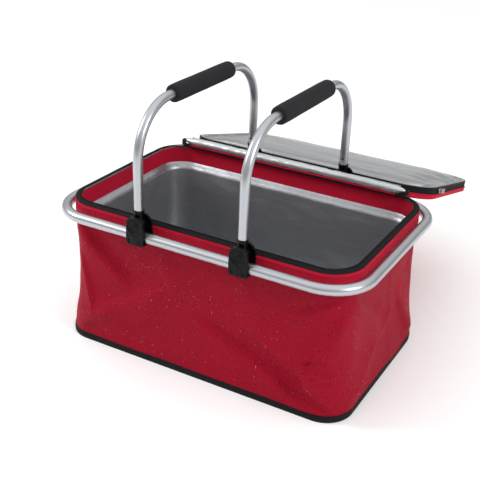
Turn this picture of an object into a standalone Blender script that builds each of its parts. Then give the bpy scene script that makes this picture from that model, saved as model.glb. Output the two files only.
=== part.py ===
"""Insulated basket-style cooler bag: padded fabric body, tubular rim ring, two swinging carry handles
and a padded zip lid that stands open behind the rim.

Frame: origin at the centre of the underside, X along the long side, Y from front to back, Z up, metres.
"""

import math

import bmesh
import bpy
from mathutils import Matrix, Vector

MM = 0.001
GAP = 0.3 * MM
TURN = math.tau

# ---- rim ring -------------------------------------------------------------------------------
RING_HALF_X = 232 * MM
RING_HALF_Y = 154 * MM
RING_CORNER = 58 * MM
RING_RADIUS = 7.5 * MM
RING_Z = 201.4 * MM

# ---- body: half sizes and corner radius of its outer skin, by height ---------------------------
BASE_HALF = (225 * MM, 144.5 * MM, 40 * MM)
WAIST_HALF = (219.5 * MM, 138.5 * MM, 45 * MM)
RIM_HALF = (220.5 * MM, 141.5 * MM, 47.5 * MM)
WAIST_Z = 115 * MM
COVER_TOP = 195 * MM
COVER_THICK = 1.2 * MM
FOAM_THICK = 4 * MM
LINING_THICK = 0.8 * MM
FOAM_TOP = 215 * MM
LINING_TOP = 215.5 * MM
BINDING_HEIGHT = 10 * MM
BINDING_THICK = 1.5 * MM
BOARD_THICK = 3 * MM

# ---- rim band, zip tape and hinge roll ---------------------------------------------------------
BAND_BOTTOM = 195.4 * MM
BAND_TOP = 218 * MM
TAPE_RISE = (219.6 * MM, 221.9 * MM)
TAPE_WIDTH = 8 * MM
ROLL_RADIUS = 6.2 * MM
ROLL_Y = 129.5 * MM
ROLL_Z = 229.5 * MM
ROLL_HALF = 188 * MM

# ---- handles -----------------------------------------------------------------------------------
PIVOT_X = 78.7 * MM
PIVOT_Z = RING_Z + 17.5 * MM
HANDLE_RISE = 158 * MM
HANDLE_CORNER = 71 * MM
TUBE_RADIUS = 6.5 * MM
GRIP_RADIUS = 12.5 * MM
GRIP_LENGTH = 147 * MM
SOCKET_EYE = 9 * MM
SOCKET_NECK = 6.6 * MM
SOCKET_RADIUS = 7.7 * MM
SOCKET_FROM = 14.4 * MM
SOCKET_TO = 20.5 * MM
BUTTON_AT = 30 * MM
BUTTON_RADIUS = 1.7 * MM
BUTTON_DEPTH = 2.6 * MM

# ---- brackets ------------------------------------------------------------------------------------
PLATE_WIDTH = 27.6 * MM
PLATE_BOTTOM = RING_Z - 10.5 * MM
PLATE_IN = 7.1 * MM
PLATE_OUT = 11.5 * MM
PIN_RADIUS = 2 * MM

# ---- lid: open, it slopes down behind the ring; closed, it lies level on the zip tape ------------
LID_HALF_X = 208.5 * MM
LID_DEPTH = 262 * MM
LID_CORNER = 50 * MM
LID_THICK = 19.2 * MM
LID_TAPE = 11 * MM
LID_SKIN = 1.2 * MM
LID_OPEN_EDGE = (171.5 * MM, 222 * MM)
LID_CLOSED_EDGE = (121.5 * MM, 222.5 * MM)
LID_SLOPE = 15.5
STRIP_HALF = 55 * MM

# ---- zip sliders: they run on the lid's side edges -----------------------------------------------
SLIDER = (4 * MM, 11 * MM, 8 * MM)
SLIDER_AT = 57 * MM
TAB = (1.6 * MM, 17 * MM, 7 * MM)

RED = (0.36, 0.012, 0.035, 1)
BLACK = (0.012, 0.012, 0.013, 1)
CHARCOAL = (0.035, 0.035, 0.037, 1)
SILVER = (0.80, 0.81, 0.83, 1)
FOAM_WHITE = (0.75, 0.75, 0.72, 1)

LOOKS = {
    "red_fabric": (RED, 0.7, 0.0),
    "black_webbing": (BLACK, 0.75, 0.0),
    "black_plastic": (BLACK, 0.4, 0.0),
    "grip_foam": (CHARCOAL, 0.85, 0.0),
    "aluminium": (SILVER, 0.28, 1.0),
    "foil": (SILVER, 0.22, 1.0),
    "foam": (FOAM_WHITE, 0.9, 0.0),
    "zinc": ((0.5, 0.5, 0.52, 1), 0.3, 1.0),
}


def clear_scene():
    for old in list(bpy.data.objects):
        bpy.data.objects.remove(old, do_unlink=True)


def make_collection(name, hidden):
    made = bpy.data.collections.new(name)
    bpy.context.scene.collection.children.link(made)
    made.hide_render = hidden
    return made


def make_material(name, look):
    color, roughness, metallic = LOOKS[look]
    made = bpy.data.materials.new(name)
    made.use_nodes = True
    shader = made.node_tree.nodes["Principled BSDF"]
    shader.inputs["Base Color"].default_value = color
    shader.inputs["Roughness"].default_value = roughness
    shader.inputs["Metallic"].default_value = metallic
    return made


clear_scene()
PARTS = make_collection("cooler_bag", False)
TOOLS = make_collection("cutters", True)


def keep(obj, name, look, parent=None):
    """Names an object as a part, gives it its material and hangs it on its moving frame."""
    for old in obj.users_collection:
        old.objects.unlink(obj)
    PARTS.objects.link(obj)
    obj.name = name
    obj.data.name = name
    obj.data.materials.clear()
    obj.data.materials.append(make_material(name, look))
    if parent is not None:
        obj.parent = parent
        obj.matrix_parent_inverse = parent.matrix_world.inverted()
    return obj


def as_tool(obj):
    for old in obj.users_collection:
        old.objects.unlink(obj)
    TOOLS.objects.link(obj)
    obj.hide_render = True
    obj.display_type = "WIRE"
    return obj


def moving_frame(name, location, turn=None):
    """An empty on a joint's axis: the pieces that move with it are its children."""
    made = bpy.data.objects.new(name, None)
    made.matrix_world = Matrix.Translation(location) @ (turn or Matrix.Identity(4))
    PARTS.objects.link(made)
    bpy.context.view_layer.update()
    return made


def cylinder(radius, length, centre, axis, sides=24):
    bpy.ops.mesh.primitive_cylinder_add(
        vertices=sides, radius=radius, depth=length, location=centre
    )
    made = bpy.context.object
    made.rotation_mode = "QUATERNION"
    made.rotation_quaternion = Vector(axis).to_track_quat("Z", "Y")
    return made


def box(size, centre):
    bpy.ops.mesh.primitive_cube_add(size=1, location=centre)
    made = bpy.context.object
    made.scale = size
    bpy.ops.object.transform_apply(location=False, rotation=False, scale=True)
    return made


def solid_of(obj):
    """The object's evaluated shape as a new mesh object, welded; the old one is removed."""
    bpy.context.view_layer.update()
    shape = bpy.data.meshes.new_from_object(obj.evaluated_get(bpy.context.evaluated_depsgraph_get()))
    mesh = bmesh.new()
    mesh.from_mesh(shape)
    bmesh.ops.remove_doubles(mesh, verts=mesh.verts, dist=0.01 * MM)
    mesh.to_mesh(shape)
    mesh.free()
    made = bpy.data.objects.new("solid", shape)
    bpy.context.scene.collection.objects.link(made)
    made.matrix_world = obj.matrix_world.copy()
    bpy.data.objects.remove(obj, do_unlink=True)
    return made


def combine(obj, other, operation):
    """Joins the other shape to the object, or cuts it away, and uses it up."""
    change = obj.modifiers.new(operation.title(), "BOOLEAN")
    change.operation = operation
    change.object = other
    made = solid_of(obj)
    bpy.data.objects.remove(other, do_unlink=True)
    return made


def soften(obj, width, angle=40):
    """Small rounded edges, shaded smooth between its sharp ones."""
    edge = obj.modifiers.new("Edges", "BEVEL")
    edge.width = width
    edge.segments = 1
    edge.limit_method = "ANGLE"
    edge.angle_limit = math.radians(angle)
    return obj


def smooth(obj, angle=35):
    obj.data.shade_smooth()
    obj.data.set_sharp_from_angle(angle=math.radians(angle))
    return obj


def rounded_outline(half_x, half_y, corner, steps=6):
    """Points round a rounded rectangle, anticlockwise from the middle of its right side."""
    points = [(half_x, 0.0)]
    for quarter in range(4):
        side_x = 1 if quarter in (0, 3) else -1
        side_y = 1 if quarter < 2 else -1
        for step in range(steps + 1):
            turn = math.radians(90 * quarter + 90 * step / steps)
            points.append((
                side_x * (half_x - corner) + corner * math.cos(turn),
                side_y * (half_y - corner) + corner * math.sin(turn),
            ))
        if quarter == 1:
            points.append((-half_x, 0.0))
    return points


def shrunk(half, by):
    return (half[0] - by, half[1] - by, half[2] - by)


def loft(sections, closed=True, floor=False):
    """A skin through outlines of equal length, each a list of (x, y, z), from the bottom up."""
    mesh = bmesh.new()
    rows = [[mesh.verts.new(point) for point in section] for section in sections]
    count = len(rows[0])
    for low, high in zip(rows, rows[1:]):
        for k in range(count if closed else count - 1):
            after = (k + 1) % count
            mesh.faces.new((low[k], low[after], high[after], high[k]))
    if floor:
        mesh.faces.new(list(reversed(rows[0])))
    shape = bpy.data.meshes.new("loft")
    mesh.to_mesh(shape)
    mesh.free()
    made = bpy.data.objects.new("loft", shape)
    bpy.context.scene.collection.objects.link(made)
    return made


def thicken(obj, thickness):
    """Gives an open skin its thickness, inwards."""
    wall = obj.modifiers.new("Thickness", "SOLIDIFY")
    wall.thickness = thickness
    wall.offset = -1
    wall.use_even_offset = True
    return obj


def level(outline, height):
    return [(x, y, height) for x, y in outline]


def slab(outline, low, high):
    """A flat sheet with that outline, from one height to another."""
    flat = bpy.data.curves.new("slab", "CURVE")
    flat.dimensions = "2D"
    flat.fill_mode = "BOTH"
    flat.extrude = (high - low) / 2
    line = flat.splines.new("POLY")
    line.points.add(len(outline) - 1)
    for point, (x, y) in zip(line.points, outline):
        point.co = (x, y, 0, 1)
    line.use_cyclic_u = True
    made = bpy.data.objects.new("slab", flat)
    bpy.context.scene.collection.objects.link(made)
    made.location.z = (low + high) / 2
    return solid_of(made)


def rod(points, radius, closed=False, roundness=4):
    """A round bar along a line of points."""
    route = bpy.data.curves.new("rod", "CURVE")
    route.dimensions = "3D"
    route.bevel_depth = radius
    route.bevel_resolution = roundness
    route.use_fill_caps = True
    line = route.splines.new("POLY")
    line.points.add(len(points) - 1)
    for point, place in zip(line.points, points):
        point.co = (*place, 1)
    line.use_cyclic_u = closed
    made = bpy.data.objects.new("rod", route)
    bpy.context.scene.collection.objects.link(made)
    return made


# ---- base ------------------------------------------------------------------------------------------
def build_base():
    inner = shrunk(BASE_HALF, COVER_THICK + 1 * MM)
    sole = slab(rounded_outline(*inner), 0, COVER_THICK)
    keep(sole, "base_sole", "red_fabric")
    board_low = COVER_THICK + GAP
    board = slab(rounded_outline(*shrunk(inner, 0.5 * MM)), board_low, board_low + BOARD_THICK)
    keep(board, "base_board", "black_plastic")
    outer = shrunk(BASE_HALF, -(GAP + BINDING_THICK))
    outline = rounded_outline(*outer)
    binding = thicken(loft([level(outline, 0), level(outline, BINDING_HEIGHT)]), BINDING_THICK)
    keep(binding, "base_binding", "black_webbing")


def body_sections(inset, bottom, top):
    """The body's outline at its foot, waist and top, moved in by the inset."""
    foot = rounded_outline(*shrunk(BASE_HALF, inset))
    waist = rounded_outline(*shrunk(WAIST_HALF, inset))
    rim = rounded_outline(*shrunk(RIM_HALF, inset))
    return [level(foot, bottom), level(waist, WAIST_Z), level(rim, COVER_TOP), level(rim, top)]


def build_cover():
    """Two fabric halves, sewn together up the middle of each end."""
    outlines = body_sections(0, 1.5 * MM, COVER_TOP)[:3]
    half = len(outlines[0]) // 2
    for name, first, side in (("cover_back", 0, 1), ("cover_front", half, -1)):
        sections = []
        for outline in outlines:
            points = [outline[(first + k) % len(outline)] for k in range(half + 1)]
            for end in (0, -1):
                x, y, z = points[end]
                points[end] = (x, side * GAP / 2, z)
            sections.append(points)
        keep(thicken(loft(sections, closed=False), COVER_THICK), name, "red_fabric")


def build_lining():
    inset = COVER_THICK + 0.4 * MM
    low = COVER_THICK + BOARD_THICK + 3 * GAP
    foam = thicken(loft(body_sections(inset, low, FOAM_TOP), floor=True), FOAM_THICK)
    keep(foam, "insulation_foam", "foam")
    inset += FOAM_THICK + 3 * GAP
    low += FOAM_THICK + 3 * GAP
    lining = thicken(loft(body_sections(inset, low, LINING_TOP), floor=True), LINING_THICK)
    keep(lining, "inner_lining", "foil")


# ---- rim -------------------------------------------------------------------------------------------
def build_rim():
    route = level(rounded_outline(RING_HALF_X, RING_HALF_Y, RING_CORNER, 8), RING_Z)
    keep(smooth(solid_of(rod(route, RING_RADIUS, closed=True))), "rim_ring", "aluminium", FRAME)
    outline = rounded_outline(*RIM_HALF)
    band = thicken(loft([level(outline, BAND_BOTTOM), level(outline, BAND_TOP)]), COVER_THICK)
    keep(band, "rim_band", "red_fabric", FRAME)
    inside = rounded_outline(*shrunk(RIM_HALF, TAPE_WIDTH))
    tape = thicken(loft([level(outline, TAPE_RISE[0]), level(inside, TAPE_RISE[1])]), 0.9 * MM)
    keep(tape, "rim_zip_tape", "black_webbing", FRAME)
    roll = cylinder(ROLL_RADIUS, 2 * ROLL_HALF, (0, ROLL_Y, ROLL_Z), (1, 0, 0), 16)
    keep(smooth(soften(roll, 2.5 * MM)), "hinge_roll", "foil", FRAME)


def build_hinge_strip():
    """The fabric hinge: it leaves the roll, lies over the rear rail and ends under the lid's edge."""
    rail_top = RING_Z + RING_RADIUS
    profile = [
        (ROLL_Y + ROLL_RADIUS + 1.5 * MM, ROLL_Z - 4 * MM),
        (RIM_HALF[1] + 2.5 * MM, TAPE_RISE[0] - 1 * MM),
        (RING_HALF_Y - 1 * MM, rail_top + 2.2 * MM),
        (RING_HALF_Y + 8 * MM, rail_top - 0.6 * MM),
        (LID_OPEN_EDGE[0] - 6.2 * MM, rail_top - 3.4 * MM),
    ]
    sides = [[(x, y, z) for y, z in profile] for x in (STRIP_HALF, -STRIP_HALF)]
    keep(thicken(loft(sides, closed=False), 1 * MM), "hinge_strip", "red_fabric", FRAME)


# ---- brackets and their pins -------------------------------------------------------------------------
def plate_outline(centre_x):
    """A round-topped plate with chamfered lower corners, as (x, z)."""
    half = PLATE_WIDTH / 2
    cut = 3 * MM
    points = []
    for step in range(17):
        turn = math.pi * step / 16
        points.append((centre_x + half * math.cos(turn), PIVOT_Z + half * math.sin(turn)))
    points += [
        (centre_x - half, PLATE_BOTTOM + cut),
        (centre_x - half + cut, PLATE_BOTTOM),
        (centre_x + half - cut, PLATE_BOTTOM),
        (centre_x + half, PLATE_BOTTOM + cut),
    ]
    return points


def standing_plate(outline, near, far):
    """A slab of an (x, z) outline, between two distances along Y."""
    flat = slab([(x, -z) for x, z in outline], near, far)
    flat.matrix_world = Matrix.Rotation(TURN / 4, 4, "X") @ flat.matrix_world
    flat.matrix_world = Matrix.Rotation(TURN / 2, 4, "X") @ flat.matrix_world
    return flat


def build_bracket_half(name, centre_x, rail_y, side):
    """One half of the clamp that holds the rail; side is +1 towards +Y and -1 towards -Y."""
    reach = sorted((rail_y + side * PLATE_IN, rail_y + side * PLATE_OUT))
    plate = standing_plate(plate_outline(centre_x), reach[0], reach[1])
    foot_top = RING_Z + RING_RADIUS - 0.5 * MM
    foot_size = (PLATE_WIDTH - 0.4 * MM, PLATE_IN - GAP / 2 + 1 * MM, foot_top - PLATE_BOTTOM - 1 * MM)
    foot_y = rail_y + side * (GAP / 2 + foot_size[1] / 2)
    foot = box(foot_size, (centre_x, foot_y, PLATE_BOTTOM + 1 * MM + foot_size[2] / 2))
    half = combine(plate, foot, "UNION")
    groove = cylinder(RING_RADIUS + GAP, 2 * PLATE_WIDTH, (centre_x, rail_y, RING_Z), (1, 0, 0), 32)
    half = combine(half, groove, "DIFFERENCE")
    bore = cylinder(PIN_RADIUS + GAP, 20.6 * MM, (centre_x, rail_y, PIVOT_Z), (0, 1, 0), 16)
    half = combine(half, bore, "DIFFERENCE")
    if side * rail_y > 0:
        face_y = rail_y + side * PLATE_OUT
        dimple = cylinder(2.2 * MM, 1.6 * MM, (centre_x, face_y, PIVOT_Z), (0, 1, 0), 16)
        half = combine(half, dimple, "DIFFERENCE")
        for offset in (-8.5 * MM, 8.5 * MM):
            place = (centre_x + offset, face_y, PLATE_BOTTOM + 6 * MM)
            half = combine(half, cylinder(2.1 * MM, 2.4 * MM, place, (0, 1, 0), 12), "DIFFERENCE")
    keep(smooth(half), name, "black_plastic", FRAME)


def build_brackets():
    for x_side, x_name in ((-1, "left"), (1, "right")):
        for y_side, y_name in ((-1, "front"), (1, "back")):
            centre_x, rail_y = x_side * PIVOT_X, y_side * RING_HALF_Y
            place = f"{y_name}_{x_name}"
            build_bracket_half(f"bracket_outer_{place}", centre_x, rail_y, y_side)
            build_bracket_half(f"bracket_inner_{place}", centre_x, rail_y, -y_side)
            pin = cylinder(PIN_RADIUS, 20 * MM, (centre_x, rail_y, PIVOT_Z), (0, 1, 0), 16)
            keep(smooth(pin), f"pivot_pin_{place}", "zinc", FRAME)


# ---- handles -----------------------------------------------------------------------------------------
def handle_route():
    """Centre line of the U, from the front leg's foot over the grip to the back leg's, as (y, z)."""
    top = PIVOT_Z + HANDLE_RISE
    points = [(-RING_HALF_Y, PIVOT_Z + SOCKET_FROM + 1.4 * MM)]
    for step in range(9):
        turn = math.radians(180 - 90 * step / 8)
        points.append((
            -RING_HALF_Y + HANDLE_CORNER + HANDLE_CORNER * math.cos(turn),
            top - HANDLE_CORNER + HANDLE_CORNER * math.sin(turn),
        ))
    return points + [(-y, z) for y, z in reversed(points)]


def build_socket(place, centre_x, rail_y, frame):
    """The moulded foot of a leg: an eye on the pivot pin, a neck and a collar round the tube's end."""
    eye = cylinder(SOCKET_EYE, 2 * SOCKET_NECK, (centre_x, rail_y, PIVOT_Z), (0, 1, 0))
    neck_length = SOCKET_FROM + 1 * MM
    neck_centre = (centre_x, rail_y, PIVOT_Z + neck_length / 2)
    neck = cylinder(SOCKET_NECK - 0.05 * MM, neck_length, neck_centre, (0, 0, 1))
    collar_centre = (centre_x, rail_y, PIVOT_Z + (SOCKET_FROM + SOCKET_TO) / 2)
    collar = cylinder(SOCKET_RADIUS, SOCKET_TO - SOCKET_FROM, collar_centre, (0, 0, 1))
    socket = combine(combine(eye, neck, "UNION"), collar, "UNION")
    bore_centre = (centre_x, rail_y, PIVOT_Z + SOCKET_FROM + 1 * MM + SOCKET_TO / 2)
    bore = cylinder(TUBE_RADIUS + GAP, SOCKET_TO, bore_centre, (0, 0, 1))
    socket = combine(socket, bore, "DIFFERENCE")
    hole = cylinder(PIN_RADIUS + GAP, 30 * MM, (centre_x, rail_y, PIVOT_Z), (0, 1, 0), 16)
    socket = combine(socket, hole, "DIFFERENCE")
    keep(smooth(socket), f"leg_socket_{place}", "black_plastic", frame)


def button_hole(centre_x, side):
    """The cross hole in a leg, on the side that faces the bag's middle."""
    depth_middle = side * (RING_HALF_Y - TUBE_RADIUS)
    return cylinder(
        BUTTON_RADIUS + GAP, 2 * BUTTON_DEPTH, (centre_x, depth_middle, PIVOT_Z + BUTTON_AT), (0, 1, 0), 12
    )


def build_handle(x_side, x_name):
    centre_x = x_side * PIVOT_X
    frame = moving_frame(f"handle_{x_name}", (centre_x, 0, PIVOT_Z))
    route = [(centre_x, y, z) for y, z in handle_route()]
    tube = solid_of(rod(route, TUBE_RADIUS))
    for y_side, y_name in ((-1, "front"), (1, "back")):
        tube = combine(tube, button_hole(centre_x, y_side), "DIFFERENCE")
        length = BUTTON_DEPTH - 2 * GAP
        middle_y = y_side * (RING_HALF_Y - TUBE_RADIUS + BUTTON_DEPTH - GAP - length / 2)
        button = cylinder(BUTTON_RADIUS, length, (centre_x, middle_y, PIVOT_Z + BUTTON_AT), (0, 1, 0), 12)
        keep(smooth(button), f"leg_button_{y_name}_{x_name}", "black_plastic", frame)
        build_socket(f"{y_name}_{x_name}", centre_x, y_side * RING_HALF_Y, frame)
    keep(smooth(tube), f"handle_tube_{x_name}", "aluminium", frame)
    top = (centre_x, 0, PIVOT_Z + HANDLE_RISE)
    grip = cylinder(GRIP_RADIUS, GRIP_LENGTH, top, (0, 1, 0), 28)
    bore = cylinder(TUBE_RADIUS + GAP, 2 * GRIP_LENGTH, top, (0, 1, 0), 20)
    keep(smooth(combine(grip, bore, "DIFFERENCE")), f"handle_grip_{x_name}", "grip_foam", frame)


# ---- lid ---------------------------------------------------------------------------------------------
def lid_hinge():
    """The one (y, z) about which the lid's edge turns from its open place to its closed one."""
    turn = math.radians(180 + LID_SLOPE)
    cos, sin = math.cos(turn), math.sin(turn)
    open_y, open_z = LID_OPEN_EDGE
    off_y = LID_CLOSED_EDGE[0] - (cos * open_y - sin * open_z)
    off_z = LID_CLOSED_EDGE[1] - (sin * open_y + cos * open_z)
    scale = 2 - 2 * cos
    return (((1 - cos) * off_y - sin * off_z) / scale, (sin * off_y + (1 - cos) * off_z) / scale)


def lid_outline(inset):
    half_depth = LID_DEPTH / 2
    outline = rounded_outline(LID_HALF_X - inset, half_depth - inset, LID_CORNER - inset)
    return [(x, y + half_depth) for x, y in outline]


def build_lid():
    """Pieces are made level, with the foil side up and the near edge at y = 0, then laid open."""
    axis_y, axis_z = lid_hinge()
    frame = moving_frame("lid", (0, axis_y, axis_z))
    lay_open = Matrix.Translation((0, *LID_OPEN_EDGE)) @ Matrix.Rotation(math.radians(-LID_SLOPE), 4, "X")
    outer = lid_outline(0)
    seam = -(LID_TAPE + GAP)
    tape = thicken(loft([level(outer, -LID_TAPE), level(outer, -GAP)]), LID_SKIN)
    shell = thicken(loft([level(outer, -LID_THICK), level(outer, seam)], floor=True), LID_SKIN)
    foam = slab(lid_outline(LID_SKIN + GAP), -LID_THICK + LID_SKIN + GAP, -LID_SKIN - GAP)
    foil = slab(lid_outline(LID_SKIN + GAP), -LID_SKIN, 0)
    pieces = (
        (tape, "lid_zip_tape", "black_webbing"),
        (shell, "lid_cover", "red_fabric"),
        (foam, "lid_foam", "foam"),
        (foil, "lid_foil", "foil"),
    )
    for piece, name, look in pieces:
        piece.matrix_world = lay_open @ piece.matrix_world
        bpy.context.view_layer.update()
        keep(piece, name, look, frame)
    for side, x_name in ((-1, "left"), (1, "right")):
        build_slider(side, x_name, lay_open, frame)


def build_slider(side, x_name, lay_open, lid_frame):
    middle = -LID_TAPE / 2
    face = LID_HALF_X + GAP
    slider = box(SLIDER, (side * (face + SLIDER[0] / 2), SLIDER_AT, middle))
    slider = combine(
        slider,
        box((1.6 * MM, 3 * MM, 20 * MM), (side * (face + SLIDER[0]), SLIDER_AT - 1.5 * MM, middle)),
        "DIFFERENCE",
    )
    slider.matrix_world = lay_open @ slider.matrix_world
    bpy.context.view_layer.update()
    keep(slider, f"zip_slider_{x_name}", "black_plastic", lid_frame)
    pin_x = side * (face + SLIDER[0] + GAP + TAB[0] / 2)
    pivot = lay_open @ Vector((pin_x, SLIDER_AT - 1.5 * MM, middle))
    tab_frame = moving_frame(f"zip_tab_{x_name}_pivot", pivot)
    tab_frame.parent = lid_frame
    tab_frame.matrix_parent_inverse = lid_frame.matrix_world.inverted()
    tab = box(TAB, (pin_x, SLIDER_AT - 1.5 * MM + TAB[1] / 2, middle))
    eye = cylinder(1.6 * MM, 12 * MM, (pin_x, SLIDER_AT + TAB[1] - 5.5 * MM, middle), (1, 0, 0), 12)
    tab = combine(tab, eye, "DIFFERENCE")
    tab.matrix_world = lay_open @ tab.matrix_world
    bpy.context.view_layer.update()
    keep(tab, f"zip_tab_{x_name}", "zinc", tab_frame)


FRAME = moving_frame("frame", (0, 0, RING_Z))
build_base()
build_cover()
build_lining()
build_rim()
build_hinge_strip()
build_brackets()
build_handle(-1, "left")
build_handle(1, "right")
build_lid()
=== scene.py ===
"""Looks of the insulated basket cooler bag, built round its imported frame.

Everything is in metres in the bag's own frame: X along the long side, Y from front to back, Z up.
Each sub-assembly is a class that makes its surfaces as grids of points and dresses them.
"""

from __future__ import annotations

import logging
import math
from dataclasses import dataclass, field
from enum import Enum
from typing import Sequence

import bpy
import numpy as np
from mathutils import Matrix, Vector

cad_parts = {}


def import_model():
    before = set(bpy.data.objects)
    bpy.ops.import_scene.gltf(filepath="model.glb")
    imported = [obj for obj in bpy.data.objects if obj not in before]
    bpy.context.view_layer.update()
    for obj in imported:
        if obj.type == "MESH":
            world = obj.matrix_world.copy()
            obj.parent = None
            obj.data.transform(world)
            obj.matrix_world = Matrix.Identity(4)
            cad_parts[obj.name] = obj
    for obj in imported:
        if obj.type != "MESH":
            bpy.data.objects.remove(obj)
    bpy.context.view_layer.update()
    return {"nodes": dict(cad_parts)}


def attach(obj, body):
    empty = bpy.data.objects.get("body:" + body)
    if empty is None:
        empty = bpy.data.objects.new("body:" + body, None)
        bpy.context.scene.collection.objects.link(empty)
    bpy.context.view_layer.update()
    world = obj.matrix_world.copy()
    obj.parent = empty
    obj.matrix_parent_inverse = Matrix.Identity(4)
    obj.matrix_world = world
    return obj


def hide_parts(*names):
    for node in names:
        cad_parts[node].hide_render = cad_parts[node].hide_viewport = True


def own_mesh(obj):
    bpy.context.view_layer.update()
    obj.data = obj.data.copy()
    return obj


LOG = logging.getLogger("cooler_bag")
MM = 0.001
TAU = math.tau
Array = np.ndarray


# ---- shader expressions ------------------------------------------------------------------------


class Wire:
    """A shader output that takes part in arithmetic; each operation adds a Math node."""

    def __init__(self, shade: "Shade", socket: bpy.types.NodeSocket) -> None:
        """Keeps the material being built and the output it stands for."""
        self.shade = shade
        self.socket = socket

    def _math(self, operation: str, *values: "Wire | float", clamp: bool = False) -> "Wire":
        """Adds a Math node for the operation on these values."""
        settings = {"operation": operation, "use_clamp": clamp}
        return self.shade.node("ShaderNodeMath", settings, dict(enumerate(values)))

    def __add__(self, other: "Wire | float") -> "Wire":
        """Sum."""
        return self._math("ADD", self, other)

    __radd__ = __add__

    def __sub__(self, other: "Wire | float") -> "Wire":
        """Difference."""
        return self._math("SUBTRACT", self, other)

    def __rsub__(self, other: float) -> "Wire":
        """Reflected difference."""
        return self._math("SUBTRACT", other, self)

    def __mul__(self, other: "Wire | float") -> "Wire":
        """Product."""
        return self._math("MULTIPLY", self, other)

    __rmul__ = __mul__

    def sine(self) -> "Wire":
        """Sine of the value in radians."""
        return self._math("SINE", self)

    def below(self, edge: float, width: float) -> "Wire":
        """1 well under the edge and 0 over it, with a ramp of that width between."""
        return self._math("MULTIPLY_ADD", self, -1 / width, edge / width + 0.5, clamp=True)

    def above(self, edge: float, width: float) -> "Wire":
        """0 under the edge and 1 over it, with a ramp of that width between."""
        return self._math("MULTIPLY_ADD", self, 1 / width, 0.5 - edge / width, clamp=True)


class Shade:
    """One material under construction."""

    def __init__(self, name: str) -> None:
        """Starts a material with an empty Principled shader."""
        self.material = bpy.data.materials.new(name)
        self.material.use_nodes = True
        self.tree = self.material.node_tree
        self.shader = self.tree.nodes["Principled BSDF"]

    def node(self, kind: str, settings: dict, sockets: dict, output: int | str = 0) -> Wire:
        """Adds a node.

        Args:
            kind: the node's type.
            settings: the node's own properties, set first.
            sockets: input name or index to a number, tuple or Wire.
            output: which output to return.

        Returns:
            The chosen output.
        """
        made = self.tree.nodes.new(kind)
        for key, value in settings.items():
            setattr(made, key, value)
        for key, value in sockets.items():
            self.feed(made.inputs[key], value)
        return Wire(self, made.outputs[output])

    def feed(self, socket: bpy.types.NodeSocket, value: "Wire | float | tuple") -> None:
        """Links a Wire to a socket, or sets the socket's own value."""
        if isinstance(value, Wire):
            self.tree.links.new(value.socket, socket)
        else:
            socket.default_value = value

    def set(self, **values: "Wire | float | tuple") -> None:
        """Feeds the shader's inputs; underscores in a name stand for spaces."""
        for key, value in values.items():
            self.feed(self.shader.inputs[key.replace("_", " ")], value)

    def place(self, kind: str = "Object") -> Wire:
        """Coordinates of the given kind: Object or UV."""
        return self.node("ShaderNodeTexCoord", {}, {}, kind)

    def part(self, vector: Wire, axis: str) -> Wire:
        """One component of a vector."""
        return self.node("ShaderNodeSeparateXYZ", {}, {0: vector}, axis)

    def stretched(self, vector: Wire, scale: tuple[float, float, float]) -> Wire:
        """Coordinates scaled along each axis."""
        return self.node("ShaderNodeMapping", {}, {"Vector": vector, "Scale": scale})

    def noise(self, vector: Wire, scale: float, detail: float = 3.0, roughness: float = 0.5) -> Wire:
        """Fractal noise from 0 to 1."""
        sockets = {"Vector": vector, "Scale": scale, "Detail": detail, "Roughness": roughness}
        return self.node("ShaderNodeTexNoise", {}, sockets)

    def cells(self, vector: Wire, scale: float, output: str = "Distance") -> Wire:
        """Voronoi cells: distance to the nearest centre, or the cell's own colour."""
        return self.node("ShaderNodeTexVoronoi", {}, {"Vector": vector, "Scale": scale}, output)

    def mix(self, factor: "Wire | float", low: "Wire | tuple", high: "Wire | tuple") -> Wire:
        """A colour between two colours."""
        made = self.tree.nodes.new("ShaderNodeMix")
        made.data_type = "RGBA"
        self.feed(made.inputs[0], factor)
        self.feed(made.inputs[6], low)
        self.feed(made.inputs[7], high)
        return Wire(self, made.outputs[2])

    def bump(self, height: Wire, distance: float, strength: float = 1.0, under: Wire | None = None) -> Wire:
        """A normal from a height whose full range is `distance` metres."""
        sockets: dict = {"Height": height, "Distance": distance, "Strength": strength}
        if under is not None:
            sockets["Normal"] = under
        return self.node("ShaderNodeBump", {}, sockets)


def rgb(red: float, green: float, blue: float) -> tuple[float, float, float, float]:
    """An 8-bit display colour as linear RGBA."""

    def linear(value: float) -> float:
        """Undoes the display curve for one channel."""
        share = value / 255
        return share / 12.92 if share <= 0.04045 else ((share + 0.055) / 1.055) ** 2.4

    return (linear(red), linear(green), linear(blue), 1.0)


def darker(color: tuple[float, ...], share: float) -> tuple[float, float, float, float]:
    """The colour scaled towards black."""
    return (color[0] * share, color[1] * share, color[2] * share, 1.0)


# ---- finishes ------------------------------------------------------------------------------------


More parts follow.
